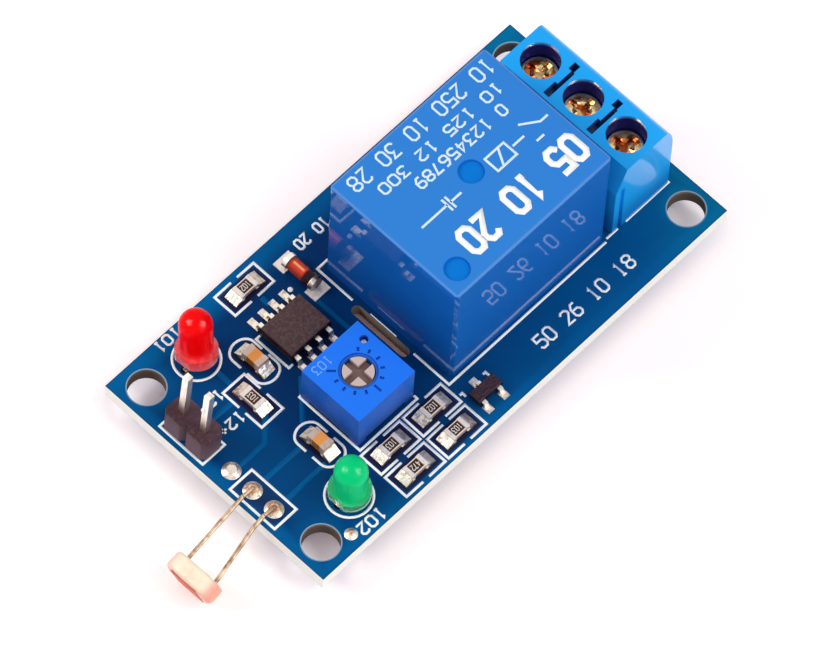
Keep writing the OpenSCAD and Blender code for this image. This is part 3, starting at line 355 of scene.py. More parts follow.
plasticPlan = {    # the nodes that each one is on, and what it looks like
    "relayBaseDark": (["relay_base"], {"colour": (0.010, 0.020, 0.055), "rough": 0.38}),
    "bobbinIvory": (["relay_bobbin"], {"colour": (0.72, 0.67, 0.52), "rough": 0.42}),
    "elementCeramic": (["trimmer_element"], {"colour": (0.74, 0.72, 0.68), "rough": 0.5, "grain": 0.12}),
    "sensorTrackFilm": (["sensor_track"], {"colour": (0.78, 0.17, 0.10), "rough": 0.3, "grain": 0.2,
                                           "fleck": (0.4, 0.05, 0.03), "fleckShare": 0.4}),
}
metalPlan = {
    "zincedIron": (["relay_core", "relay_yoke", "relay_armature"],
                   {"colour": (0.62, 0.62, 0.60), "rough": 0.30, "worn": (0.42, 0.40, 0.38)}),
    "contactBronze": (["relay_moving_contact", "relay_open_contact", "relay_closed_contact"],
                      {"colour": (0.78, 0.56, 0.34), "rough": 0.24, "worn": (0.50, 0.34, 0.22)}),
    "tinnedCopper": (["relay_coil_pins", "relay_common_pin", "terminal_plates", "trimmer_pins", "red_lamp_leads",
                      "green_lamp_leads"], {"colour": (0.80, 0.74, 0.68), "rough": 0.26, "worn": (0.50, 0.43, 0.38),
                                            "wornShare": 0.4, "ripple": 0.4, "waves": 2.2}),
    "leadTin": (["comparator_leads", "transistor_leads"],
                {"colour": (0.98, 0.89, 0.76), "rough": 0.32, "worn": (0.52, 0.42, 0.36), "ripple": 0.3, "waves": 2.2}),
    "cageSteel": (["terminal_cage_1", "terminal_cage_2", "terminal_cage_3"],
                  {"colour": (0.70, 0.70, 0.69), "rough": 0.26, "worn": (0.48, 0.46, 0.44)}),
    "wiperBronze": (["trimmer_wiper"], {"colour": (0.76, 0.60, 0.38), "rough": 0.25}),
}


def mouldedPlastic(name, colour, rough, grain=0.05, fleck=(0.0, 0.0, 0.0), fleckShare=0.06, shine=0.4):
    # faint clouds in the colour, a fine surface grain and tiny scuffs
    f = Finish(name)
    cloud, fine = f.noise(0.45, 2.0), f.noise(22.0, 3.0, 0.6)
    scuff = f.step(f.noise(3.0, 5.0, 0.75, (1, 3, 1)), 0.62, 0.80)
    tint = f.mix(scuff * 0.05, f.mix(cloud * fleckShare, colour, fleck), (0.8, 0.85, 0.9))
    return f.done(tint, rough + fine * 0.08 + scuff * 0.12, f.bump(fine + scuff * 0.3, grain, 0.03), shine=shine)


def metalFinish(name, colour, rough, worn=(0.5, 0.5, 0.5), wornShare=0.3, ripple=0.25, waves=3.0):
    # slow ripples, fine scratches and duller patches
    f = Finish(name)
    slow, fine = f.noise(waves, 2.0), f.noise(30.0, 3.0, 0.7)
    patch = f.step(f.noise(1.6, 4.0, 0.6), 0.45, 0.70)
    return f.done(f.mix(patch * wornShare, colour, worn), rough + patch * 0.14 + fine * 0.08,
                  f.bump(slow + fine * 0.12, ripple, 0.08), metallic=1.0)


for makeFinish, plans in ((mouldedPlastic, plasticPlan), (metalFinish, metalPlan)):
    for name, (pieces, plan) in plans.items():
        paint(makeFinish(name, **plan), *pieces)

relayPlan = {
    "top": (0.030, 0.215, 0.66), "topCloud": (0.045, 0.26, 0.72), "recess": (0.002, 0.19, 0.66),
    "side": (0.004, 0.080, 0.35), "sideLit": (0.006, 0.130, 0.50), "edge": (0.15, 0.31, 0.68), "dust": (0.5, 0.62, 0.75),
}


def relayFinish(plan):
    # painted light: the sides are darker than the top and darker low down, and the face towards -Y is lighter
    f = Finish("relayCaseBlue")
    low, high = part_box("relay_case")
    topZ = high.z / mm
    upper = f.step(f.z, topZ - 0.30, topZ - 0.26)
    middle, half = (low + high) / 2 / mm, (high - low) / 2 / mm
    inward = (half.x - abs(f.x - middle.x)).least(half.y - abs(f.y - middle.y))
    inner = f.step(inward, 0.15, 0.24)
    sunk = f.band(f.z, topZ - 0.28, topZ - 0.17, 0.03) * inner
    # the paler line along the top's outer edges is a painted highlight
    worn = (1 - inner) * f.step(f.z, topZ - 0.30, topZ - 0.20)
    cloud, fine = f.noise(0.3, 2.0), f.noise(16.0, 3.0, 0.6)
    flow = f.noise(0.7, 3.0, 0.5, (1, 1, 0.25))
    front = 1 - f.step(f.y, low.y / mm + 0.02, low.y / mm + 0.06)    # the long side that faces -Y, painted lighter
    rise = f.step(f.z, boardPlan["thickness"], topZ) * (0.6 - front * 0.4) + front * 0.55 + flow * 0.2
    side = f.mix(rise, plan["side"], plan["sideLit"])
    face = f.mix(cloud * 0.2, plan["top"], plan["topCloud"])
    colour = f.mix(worn * 0.6, f.mix(sunk, f.mix(upper, side, face), plan["recess"]), plan["edge"])
    colour = f.mix(f.step(f.noise(6.0, 5.0, 0.8), 0.70, 0.80) * 0.10, colour, plan["dust"])
    return f.done(colour, 0.40 + fine * 0.08, f.bump(fine + cloud * 2.0, 0.06, 0.03), shine=0.02, ior=1.5,
                  coat=0.85 - upper * 0.8, coatRough=0.03)


windingPlan = {"pitch": 0.12, "dark": (0.48, 0.17, 0.06), "bright": (0.66, 0.29, 0.11)}


def windingFinish(plan):
    # enamelled copper wire, turn by turn
    f = Finish("enamelledCopper")
    patch = f.noise(1.2, 3.0)
    turns = (f.z * (2 * math.pi / plan["pitch"])).maths("SINE")
    return f.done(f.mix(patch, plan["dark"], plan["bright"]), 0.24 + patch * 0.1, f.bump(turns, 0.5, 0.06), metallic=0.9)


paint(relayFinish(relayPlan), "relay_case")
paint(windingFinish(windingPlan), "relay_winding")

terminalPlan = {
    "screwX": 19.9, "pitch": 5.08, "holeRadius": 1.85, "jointFrom": 17.75, "jointTo": 21.95,
    "blue": (0.010, 0.37, 0.90), "cloud": (0.022, 0.44, 0.95), "low": (0.0006, 0.15, 0.52),
    "joint": (0.0006, 0.008, 0.13),                                         # painted shade in the notches between the poles
    "screwHoleShade": (0.009, 0.012, 0.140), "screwHoleShadeCloud": (0.020, 0.016, 0.170),
}


def terminalFinish(plan):
    # bright moulded block, with painted shade inside the screw holes and in the notches between the poles, and painted
    # darker low down
    f = Finish("terminalBlockBlue")
    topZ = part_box("terminal_housing")[1].z / mm
    cloud, fine = f.noise(0.5, 2.0), f.noise(18.0, 3.0, 0.6)
    nearest = f.distance(plan["screwX"], 0.0)
    for side in (-1, 1):
        nearest = nearest.least(f.distance(plan["screwX"], side * plan["pitch"]))
    inHole = 1 - f.step(nearest, plan["holeRadius"], plan["holeRadius"] + 0.06)
    inHole = inHole * (1 - f.step(f.z, topZ - 0.6, topZ - 0.02))
    inJoint = 1 - f.step(abs(abs(f.y) - plan["pitch"] / 2), 0.42, 0.50)
    inJoint = inJoint * f.band(f.x, plan["jointFrom"], plan["jointTo"])
    inJoint = inJoint * (1 - f.step(f.z, topZ - 0.14, topZ - 0.06)) * f.step(f.z, topZ - 1.30, topZ - 1.25)
    colour = f.mix(cloud * 0.25, plan["blue"], plan["cloud"])
    # painted shade: darker low down, near the board
    colour = f.mix((1 - f.step(f.z, 1.8, 6.5)) * 0.72, colour, plan["low"])
    colour = f.mix(inJoint * 0.85, colour, plan["joint"])
    surface = f.bump(fine + cloud, 0.05, 0.03)
    outside = f.shader(colour, 0.30 + fine * 0.08, surface, shine=0.15, ior=1.5,
                       coat=(1 - f.step(f.z, topZ - 0.04, topZ - 0.01)) * 0.7, coatRough=0.08)
    screwHoleShade = f.shader(f.mix(cloud * 0.4, plan["screwHoleShade"], plan["screwHoleShadeCloud"]), 0.6, surface, shine=0.02)
    return f.close(f.either(inHole, outside, screwHoleShade))


screwPlan = {
    "top": 9.4, "rimFrom": 1.50, "rimTo": 1.70,
    "gold": (1.0, 0.70, 0.32), "copper": (0.50, 0.13, 0.030), "rim": (1.0, 0.90, 0.66), "slot": (0.24, 0.045, 0.012),
}


def screwFinish(name, y, plan):
    # yellow plating, with a painted highlight on the rim, painted reflection of the dark hole in copper lobes, and
    # painted shade in the driver slots
    f = Finish(name)
    out = f.distance(terminalPlan["screwX"], y)
    deep = 1 - f.step(f.z, plan["top"] - 0.34, plan["top"] - 0.08)
    patch, fine = f.noise(0.75, 2.0, 0.5), f.noise(5.0, 3.0, 0.6)
    reflectedLobe = f.step(patch, 0.45, 0.53)
    colour = f.mix(reflectedLobe, plan["gold"], plan["copper"])
    colour = f.mix(f.step(out + fine * 0.4, plan["rimFrom"], plan["rimTo"]), colour, plan["rim"])
    colour = f.mix(deep * (0.45 + reflectedLobe * 0.4), colour, plan["slot"])
    return f.done(colour, 0.20 + fine * 0.10, f.bump(patch * 2.0 + fine * 0.25, 0.4, 0.08), metallic=1.0)


paint(terminalFinish(terminalPlan), "terminal_housing")
for number in (1, 2, 3):
    screwY = (number - 2) * terminalPlan["pitch"]
    paint(screwFinish(f"platedScrew{number}", screwY, screwPlan), f"terminal_screw_{number}")

trimmerPlan = {
    "x": -10.55, "y": -2.9, "top": 6.4, "tickFrom": 1.75, "tickTo": 3.15,
    "face": (0.012, 0.180, 0.90), "faceCloud": (0.02, 0.21, 0.94), "tickShade": (0.003, 0.065, 0.42),
    "side": (0.014, 0.125, 0.57), "sideCloud": (0.014, 0.14, 0.62), "mottle": (0.040, 0.060, 0.42),
    "foot": (0.004, 0.035, 0.22),
    "rotor": (0.64, 0.50, 0.46), "rotorWorn": (0.48, 0.36, 0.33), "crossDark": (0.13, 0.052, 0.040),
    "crossFrom": 5.75, "crossTo": 6.25,    # heights of the driver cross in the rotor
}


def trimmerFinish(plan):
    # the sides are painted darker than the top face and darker still towards the foot, and the sunk ticks are painted
    # shade
    f = Finish("trimmerBlue")
    top = plan["top"]
    cloud, fine = f.noise(0.6, 2.0), f.noise(16.0, 4.0, 0.65)
    upper = f.step(f.z, top - 0.10, top - 0.02)
    onTick = f.band(f.distance(plan["x"], plan["y"]), plan["tickFrom"], plan["tickTo"], 0.05)
    sunkTick = (1 - upper) * onTick * f.step(f.z, top - 0.3, top - 0.2)
    side = f.mix(cloud * 0.4, plan["side"], plan["sideCloud"])
    side = f.mix(f.step(f.noise(1.6, 4.0, 0.65), 0.45, 0.70) * 0.45, side, plan["mottle"])
    side = f.mix((1 - f.step(f.z, 1.7, 4.6)) * 0.7, side, plan["foot"])
    colour = f.mix(upper, side, f.mix(cloud * 0.3, plan["face"], plan["faceCloud"]))
    return f.done(f.mix(sunkTick * 0.8, colour, plan["tickShade"]), 0.34 + fine * 0.12, f.bump(fine, 0.12, 0.03),
                  shine=0.15, ior=1.5)


def rotorFinish(plan):
    # cream rotor, darker inside the driver cross
    f = Finish("trimmerRotorCream")
    fine = f.noise(8.0, 4.0, 0.6)
    deep = 1 - f.step(f.z, plan["crossFrom"], plan["crossTo"])
    colour = f.mix(deep * 0.85, f.mix(fine * 0.5, plan["rotor"], plan["rotorWorn"]), plan["crossDark"])
    return f.done(colour, 0.42 + fine * 0.12, f.bump(fine, 0.2, 0.04))


paint(trimmerFinish(trimmerPlan), "trimmer_body")
paint(rotorFinish(trimmerPlan), "trimmer_rotor")

headerPlan = {
    "top": (0.062, 0.026, 0.036), "side": (0.080, 0.042, 0.058), "low": (0.15, 0.092, 0.120),
    "speck": (0.17, 0.11, 0.12), "lean": 0.078,    # the top rises along X with the lean of the header
    "tin": (0.98, 0.90, 0.83), "pinBlockReflection": (0.52, 0.40, 0.33), "streak": (0.42, 0.33, 0.27), "lowTo": 4.6, "tinFrom": 8.2,
}


def headerFinish(plan):
    # dark moulded tops; the sides are painted paler than the top, and paler still low down, as painted light
    f = Finish("headerBrownBlack")
    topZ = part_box("header_block")[1].z / mm
    rise = f.step(f.z - f.x * plan["lean"], topZ + 1.55, topZ + 1.80)
    grain, fine = f.noise(3.0, 4.0, 0.7), f.noise(22.0, 3.0, 0.6)
    side = f.mix(f.step(f.z, boardPlan["thickness"], topZ), plan["low"], plan["side"])
    colour = f.mix(rise, side, plan["top"])
    return f.done(f.mix(f.step(grain, 0.45, 0.70) * 0.35, colour, plan["speck"]), 0.42 + fine * 0.08,
                  f.bump(fine + grain * 0.4, 0.12, 0.03), shine=0.12)


def pinFinish(plan):
    # tinned square pins, with a painted reflection of the brown block low down
    f = Finish("headerPinTin")
    slow, fine = f.noise(1.6, 3.0), f.noise(26.0, 3.0, 0.7)
    low = 1 - f.step(f.z + slow * 1.2, plan["lowTo"], plan["tinFrom"])
    colour = f.mix(low * 0.75, plan["tin"], plan["pinBlockReflection"])
    streak = f.step(f.noise(3.0, 3.0, 0.6, (1, 1, 0.2)), 0.50, 0.70)
    return f.done(f.mix(streak * 0.55, colour, plan["streak"]), 0.34 + fine * 0.08,
                  f.bump(slow + fine * 0.1, 0.25, 0.05), metallic=1.0)


paint(headerFinish(headerPlan), "header_block")
paint(pinFinish(headerPlan), "header_pins")

lampPlan = {
    # streak is the colour of the painted glints in the clear feet
    "streak": (1.0, 0.90, 0.86), "turn": 53.0, "sides": 40,
    "profile": [(0.0, 0.32), (1.10, 0.32), (1.38, 0.62), (1.42, 1.50), (0.0, 1.50)],    # the core's radius and height
    "red": {"dye": (1.0, 0.0008, 0.002), "flank": (0.90, 0.004, 0.030), "foot": (1.0, 0.30, 0.33), "clear": 0.55,
            "footTo": 2.6, "dyeFrom": 4.6, "core": (0.80, 0.002, 0.010), "coreAt": (-17.7, 9.25, 2.5), "lean": 14.0},
    "green": {"dye": (0.0006, 0.64, 0.22), "flank": (0.02, 0.42, 0.17), "foot": (0.90, 0.98, 0.84), "clear": 0.92,
              "footTo": 2.9, "dyeFrom": 3.2, "core": (0.002, 0.60, 0.22), "coreAt": (-17.7, -9.0, 2.1), "lean": 0.0},
}


def lensFinish(name, plan, lamp):
    # dyed resin over a clear foot, with painted glints in the foot
    f = Finish(name)
    fine = f.noise(8.0, 2.0)
    ripple = f.bump(fine, 0.04, 0.02)
    dye = f.mix(fine * 0.10, lamp["dye"], tuple(c * 0.72 for c in lamp["dye"]))
    dyed = f.shader(dye, 0.12 + fine * 0.05, ripple, ior=1.48, shine=0.07, subsurface=0.5,
                    reach=(0.0009, 0.0009, 0.0009))
    rim = f.shader(f.mix(fine * 0.10, lamp["flank"], lamp["dye"]), 0.15 + fine * 0.05, ripple, shine=0.07)
    facing = f.add("ShaderNodeLayerWeight", None, {"Blend": 0.5}, "Facing")
    dyed = f.either(f.step(facing, 0.35, 0.95) * 0.65, dyed, rim)
    footGlints = f.step(f.noise(1.8, 3.0, 0.6, (1, 1, 0.6)), 0.48, 0.62)
    foot = f.shader(f.mix(footGlints * 0.45, lamp["foot"], plan["streak"]), 0.06 + fine * 0.04, ripple,
                    transmission=lamp["clear"], ior=1.40, shine=0.5)
    return f.close(f.either(f.step(f.z, lamp["footTo"], lamp["dyeFrom"]), foot, dyed))


for hue in ("red", "green"):
    paint(lensFinish(hue + "LensResin", lampPlan, lampPlan[hue]), hue + "_lamp_lens")

sensorPlan = {
    "radius": 2.55, "flat": 2.15, "thick": 1.8, "tilt": 16.5, "corner": 0.5, "frontRound": 0.5, "backRound": 0.35,
    "sides": 64, "cream": (0.97, 0.89, 0.69), "blush": (0.94, 0.62, 0.46), "face": (0.80, 0.28, 0.20),
    "rim": (0.88, 0.25, 0.165), "leadTin": (0.64, 0.48, 0.33), "leadCopper": (0.29, 0.165, 0.10),
}


def sensorFinish(plan):
    # cream disc, pink towards its face and its rounded sides
    f = Finish("sensorDiscCeramic")
    low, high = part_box("sensor_disc")
    grain, flush = f.noise(4.0, 4.0, 0.6), f.step(f.noise(0.9, 4.0, 0.65), 0.50, 0.68)
    face = 1 - f.step(f.x + f.z * 0.30, low.x / mm + 0.30, low.x / mm + 1.2)
    rim = f.step(abs(f.y - (low.y + high.y) / 2 / mm), 1.5, 2.5)
    colour = f.mix(grain * 0.3 + flush * 0.35, plan["cream"], plan["blush"])
    colour = f.mix(rim * 0.80, f.mix(face * 0.9, colour, plan["face"]), plan["rim"])
    return f.done(colour, 0.22 + grain * 0.1, f.bump(grain, 0.15, 0.04), subsurface=0.2, reach=(0.001, 0.0006, 0.0004))


def sensorLeadFinish(plan):
    # tinned wire that shows its copper in places
    f = Finish("sensorLeadWire")
    patch, fine = f.step(f.noise(1.1, 3.0, 0.6), 0.35, 0.65), f.noise(24.0, 3.0, 0.7)
    return f.done(f.mix(patch, plan["leadTin"], plan["leadCopper"]), 0.26 + fine * 0.1, f.bump(fine, 0.15, 0.03),
                  metallic=0.9)


paint(sensorLeadFinish(sensorPlan), "sensor_leads")

packagePlan = {
    "comparator": {"top": (0.072, 0.038, 0.040), "side": (0.012, 0.005, 0.010), "fleck": (0.155, 0.100, 0.092)},
    "transistor": {"top": (0.030, 0.014, 0.024), "side": (0.008, 0.004, 0.012), "fleck": (0.095, 0.060, 0.072)},
}


def packageFinish(name, node, plan):
    # speckled moulding compound; the sides are painted darker than the top as painted shade, with a paler band just
    # under the top edges
    f = Finish(name)
    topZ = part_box(node)[1].z / mm
    # worn here is the paler band just under the top edges
    upper, worn = f.step(f.z, topZ - 0.04, topZ - 0.01), f.band(f.z, topZ - 0.16, topZ - 0.02)
    grain, fine = f.noise(4.5, 5.0, 0.75), f.noise(24.0, 3.0, 0.7)
    face = f.mix(f.step(grain, 0.42, 0.66) * 0.65, plan["top"], plan["fleck"])
    colour = f.mix(worn * 0.6, f.mix(upper, plan["side"], face), plan["fleck"])
    return f.done(colour, 0.46 + fine * 0.1, f.bump(fine + grain * 0.5, 0.30, 0.03), shine=0.1)


for name, plan in packagePlan.items():
    paint(packageFinish(name + "Plastic", name + "_body", plan), name + "_body")

diodePlan = {
    "glass": (0.92, 0.036, 0.020), "glassSideShade": (0.24, 0.005, 0.008), "farEnd": (0.06, 0.010, 0.012),
    "warm": (0.90, 0.20, 0.06), "axisHighlight": (1.0, 0.50, 0.22), "band": (0.022, 0.006, 0.010),
    "tin": (0.90, 0.85, 0.80), "tarnish": (0.10, 0.065, 0.070),
}


def diodeFinish(plan):
    # red glass tube with a dark band near one end; its sides are painted darker as painted shade
    f = Finish("diodeGlassRed")
    low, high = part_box("diode_glass")
    fine = f.noise(6.0, 3.0)
    lowY, highY = low.y / mm, high.y / mm
    band = 1 - f.step(f.y, lowY + 0.70, lowY + 0.95)
    off = abs(f.x - (low.x + high.x) / 2 / mm + 0.05)
    highlightStrip = (1 - f.step(off, 0.05, 0.15)) * f.band(f.y, lowY + 1.0, highY - 0.35, 0.15)     # a painted highlight along the tube
    colour = f.mix(f.step(off, 0.16, 0.58), plan["glass"], plan["glassSideShade"])
    colour = f.mix(f.step(f.y, highY - 0.45, highY - 0.10) * 0.8, colour, plan["farEnd"])
    colour = f.mix(highlightStrip, f.mix(fine * 0.3, colour, plan["warm"]), plan["axisHighlight"])
    return f.done(f.mix(band, colour, plan["band"]), 0.08 + fine * 0.05, f.bump(fine, 0.08, 0.03),
                  transmission=0.05, ior=1.5, shine=0.12)


def diodeCapFinish(plan):
    # bright tin, with a painted dark reflection on its lower end and on one side of its lower half
    f = Finish("diodeCapTin")
    low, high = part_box("diode_ends")
    middle = (low + high) / 2 / mm
    slow, fine = f.noise(2.6, 3.0, 0.6), f.noise(26.0, 3.0, 0.7)
    lower = 1 - f.step(f.y, low.y / mm + 0.30, low.y / mm + 0.50)
    dark = f.step(f.x - middle.x + slow * 0.6, -0.05, 0.35) * (1 - f.step(f.y, middle.y, high.y * 0.9 / mm))
    colour = f.mix((lower * 0.6).most(dark), plan["tin"], plan["tarnish"])
    return f.done(colour, 0.22 + fine * 0.1, f.bump(slow + fine * 0.1, 0.4, 0.06), metallic=1.0)


paint(diodeFinish(diodePlan), "diode_glass")
paint(diodeCapFinish(diodePlan), "diode_ends")

chipPlan = {
    "resistor": {"body": (0.92, 0.75, 0.67), "ends": (0.84, 0.74, 0.69), "cap": 0.42, "coat": (0.052, 0.017, 0.009)},
    "capacitor": {"body": (0.93, 0.36, 0.085), "ends": (0.66, 0.49, 0.39), "cap": 0.56, "coat": None},
    "tarnish": (0.26, 0.19, 0.15), "coatSpeck": (0.12, 0.07, 0.05),
    "alongY": ("resistor_2", "capacitor_1", "capacitor_2"),
}


def chipFinish(node, plan, kind):
    # plated ends, a plain body and, where the kind has one, a dark coat on top
    f = Finish("finish." + node)
    low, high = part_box(node)
    middle, size, body = (low + high) / 2 / mm, (high - low) / mm, kind["body"]
    along, across, length, width = f.x - middle.x, f.y - middle.y, size.x, size.y
    if node in plan["alongY"]:
        along, across, length, width = across, along, width, length
    topZ, capStart = high.z / mm, length / 2 - kind["cap"]
    ends = f.step(abs(along), capStart - 0.03, capStart + 0.03)
    upper = f.step(f.z, topZ - 0.06, topZ - 0.03)
    grain, speck = f.noise(9.0, 3.0, 0.6), f.noise(26.0, 3.0, 0.7)
    # the body's sides are painted darker than its top, as painted shade
    tint = f.mix(upper, tuple(c * 0.35 for c in body), f.mix(grain * 0.3, body, tuple(c * 0.78 for c in body)))
    if kind["coat"] is not None:
        painted = upper * (1 - f.step(abs(across), width / 2 - 0.16, width / 2 - 0.12))
        tint = f.mix(painted, tint, f.mix(speck * 0.4, kind["coat"], plan["coatSpeck"]))
    dull = f.step(f.noise(2.6, 4.0, 0.7), 0.50, 0.64) * (0.65 - upper * 0.4)
    colour = f.mix(ends, tint, f.mix(dull, kind["ends"], plan["tarnish"]))
    return f.done(colour, 0.44 - ends * 0.08 + speck * 0.1, f.bump(grain + speck * 0.3, 0.35, 0.06),
                  metallic=ends * 0.5, shine=0.1)


for node in [f"resistor_{i}" for i in range(1, 7)] + ["capacitor_1", "capacitor_2"]:
    paint(chipFinish(node, chipPlan, chipPlan[node.split("_")[0]]), node)

solderPlan = {
    "bright": (0.80, 0.71, 0.61), "dull": (0.34, 0.25, 0.19), "shade": (0.17, 0.115, 0.14),
    "tan": (0.86, 0.54, 0.36), "brown": (0.40, 0.16, 0.08), "brightTin": (0.94, 0.84, 0.77),
    "tanSpots": [(-23.2, -2.88, 0.62), (-23.2, -5.42, 0.62), (-20.25, -11.65, 0.30)],    # x, y and radius
    "shaded": [    # x0, x1, y0, y1 and share: the comparator's near leads and the far ends of the resistors
        (-12.4, -7.4, 1.6, 5.0, 0.6), (-10.75, -9.6, -9.6, -7.1, 0.35), (-5.65, -4.5, -9.6, -7.1, 0.35),
        (-10.75, -9.6, -12.55, -9.95, 0.35), (-5.65, -4.5, -12.55, -9.95, 0.35), (-9.0, -7.6, 9.9, 12.3, 0.3)],
    "brightened": [(-6.9, -4.2, 5.2, 7.4), (-6.9, -4.2, 9.5, 11.6)],    # x0, x1, y0 and y1: the tin under the diode, painted brighter and less metallic
}


def solderFinish(plan):
    # bright ripples, dull patches, copper tan where the pads show through
    f = Finish("solderFillet")
    slow, fine = f.noise(2.0, 2.0), f.noise(24.0, 3.0, 0.7)
    dull = f.step(f.noise(2.4, 4.0, 0.7), 0.50, 0.62)
    colour = f.mix(dull * 0.75, plan["bright"], plan["dull"])
    for x0, x1, y0, y1, share in plan["shaded"]:
        colour = f.mix(f.band(f.x, x0, x1) * f.band(f.y, y0, y1) * share, colour, plan["shade"])
    mottle = f.step(f.noise(3.6, 4.0, 0.7), 0.42, 0.62)
    for x, y, radius in plan["tanSpots"]:
        near = 1 - f.step(f.distance(x, y), radius - 0.12, radius + 0.06)
        colour = f.mix(near * 0.9, colour, f.mix(mottle, plan["tan"], plan["brown"]))
    brightened = 0.0
    for x0, x1, y0, y1 in plan["brightened"]:
        brightened = f.band(f.x, x0, x1) * f.band(f.y, y0, y1) + brightened
    colour = f.mix(brightened * 0.75, colour, plan["brightTin"])
    return f.done(colour, 0.30 + dull * 0.14 + fine * 0.08, f.bump(slow * 1.4 + fine * 0.1, 0.6, 0.10),
                  metallic=0.9 - brightened * 0.6)


paint(solderFinish(solderPlan), "pad_solder", "joint_solder")
print("finishes made:", len(bpy.data.materials))


def circleSteps(count):
    # cosine and sine of each step round a circle
    return [(math.cos(2 * math.pi * i / count), math.sin(2 * math.pi * i / count)) for i in range(count)]


def closedPiece(name, shape, material):
    # a closed shape as an object, with its faces pointing out
    bmesh.ops.recalc_face_normals(shape, faces=shape.faces)
    mesh = bpy.data.meshes.new(name)
    shape.to_mesh(mesh)
    shape.free()
    mesh.materials.append(material)
    return newObject(name, mesh)


def sensorShell(plan):
    # the disc with its rims and corners worn round, in the place of the CAD disc
    low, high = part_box("sensor_disc")
    place = Matrix.Translation((low + high) / 2) @ Matrix.Rotation(math.radians(-plan["tilt"]), 4, "Y")
    half, front, back, sides = plan["thick"] / 2, plan["frontRound"], plan["backRound"], plan["sides"]
    turns = [math.radians(15 * i) for i in range(7)]    # a quarter round for each rim: how far in, and where along
    profile = [(front * (1 - math.sin(a)), -half + front * (1 - math.cos(a))) for a in turns]
    profile += [(back * (1 - math.cos(a)), half - back * (1 - math.sin(a))) for a in turns]
    shape, rings = bmesh.new(), []
    for inset, along in profile:
        ring, top, soft = [], plan["flat"] - inset, plan["corner"]
        for c, s in circleSteps(sides):
            across, rise = (plan["radius"] - inset) * c, (plan["radius"] - inset) * s
            share = min(1.0, max(0.0, 0.5 + 0.5 * (top - abs(rise)) / soft))
            rise = math.copysign(top + (abs(rise) - top) * share - soft * share * (1 - share), rise)
            ring.append(shape.verts.new(place @ (Vector((along, across, rise)) * mm)))
        rings.append(ring)
    for one, two in zip(rings, rings[1:]):
        for i in range(sides):
            shape.faces.new((one[i], one[(i + 1) % sides], two[(i + 1) % sides], two[i]))
    for ring in (rings[0], rings[-1]):
        middle = shape.verts.new(sum((v.co for v in ring), Vector()) / sides)
        for i in range(sides):
            shape.faces.new((ring[i], ring[(i + 1) % sides], middle))
    shell = closedPiece("sensorShell", shape, sensorFinish(plan))
    shell.data.polygons.foreach_set("use_smooth", [True] * len(shell.data.polygons))
    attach(shell, "module")
    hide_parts("sensor_disc")


def dyedCore(name, plan, lamp):
    # the dyed middle that shows through the clear foot of a lamp
    turn = Matrix.Rotation(math.radians(plan["turn"]), 4, "Z")
    lean = Matrix.Rotation(math.radians(lamp["lean"]), 4, "Y")
    pose = Matrix.Translation(Vector(lamp["coreAt"]) * mm) @ turn @ lean @ turn.inverted()
    shape, rings = bmesh.new(), []
    for radius, height in plan["profile"]:
        around = circleSteps(plan["sides"] if radius else 1)
        rings.append([shape.verts.new(pose @ (Vector((radius * c, radius * s, height)) * mm)) for c, s in around])
    for one, two in zip(rings, rings[1:]):
        for i in range(plan["sides"]):
            j = i + 1
            corners = [one[i % len(one)], one[j % len(one)], two[j % len(two)], two[i % len(two)]]
            shape.faces.new(list(dict.fromkeys(corners)))
    resin = mouldedPlastic(name + "Resin", lamp["core"], 0.2, 0.05, tuple(c * 0.6 for c in lamp["core"]), 0.4, 0.3)
    core = closedPiece(name, shape, resin)
    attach(core, "module")


sensorShell(sensorPlan)
for hue in ("red", "green"):
    dyedCore(hue + "LampCore", lampPlan, lampPlan[hue])
print("sensor disc and lamp cores made")

fontPlan = {"step": 5.6, "space": 1.6, "tall": 6}    # from one figure to the next, the space between, the height
strokeDigits = {
    "0": [[(1, 0), (3, 0), (4, 1), (4, 5), (3, 6), (1, 6), (0, 5), (0, 1), (1, 0)]],
    "1": [[(1, 5), (2, 6), (2, 0)], [(1, 0), (3, 0)]],
    "2": [[(0, 5), (1, 6), (3, 6), (4, 5), (4, 4), (0, 0), (4, 0)]],
    "3": [[(0, 6), (4, 6), (2, 3.6), (3, 3.6), (4, 2.6), (4, 1), (3, 0), (1, 0), (0, 1)]],
    "4": [[(3, 0), (3, 6), (0, 2), (4, 2)]],
    "5": [[(4, 6), (0, 6), (0, 3.5), (3, 3.5), (4, 2.5), (4, 1), (3, 0), (1, 0), (0, 1)]],
    "6": [[(3.5, 6), (1.5, 6), (0, 4), (0, 1), (1, 0), (3, 0), (4, 1), (4, 2.3), (3, 3.3), (0, 3.3)]],
    "7": [[(0, 6), (4, 6), (1.5, 0)]],
    "8": [[(1, 3.2), (0, 4.2), (0, 5), (1, 6), (3, 6), (4, 5), (4, 4.2), (3, 3.2), (1, 3.2)],
          [(1, 3.2), (0, 2.2), (0, 1), (1, 0), (3, 0), (4, 1), (4, 2.2), (3, 3.2)]],
    "9": [[(0.5, 0), (2.5, 0), (4, 2), (4, 5), (3, 6), (1, 6), (0, 5), (0, 3.7), (1, 2.7), (4, 2.7)]],
    "+": [[(0, 3), (4, 3)], [(2, 1), (2, 5)]],
    "-": [[(0.3, 3), (3.7, 3)]],
    " ": [],
}


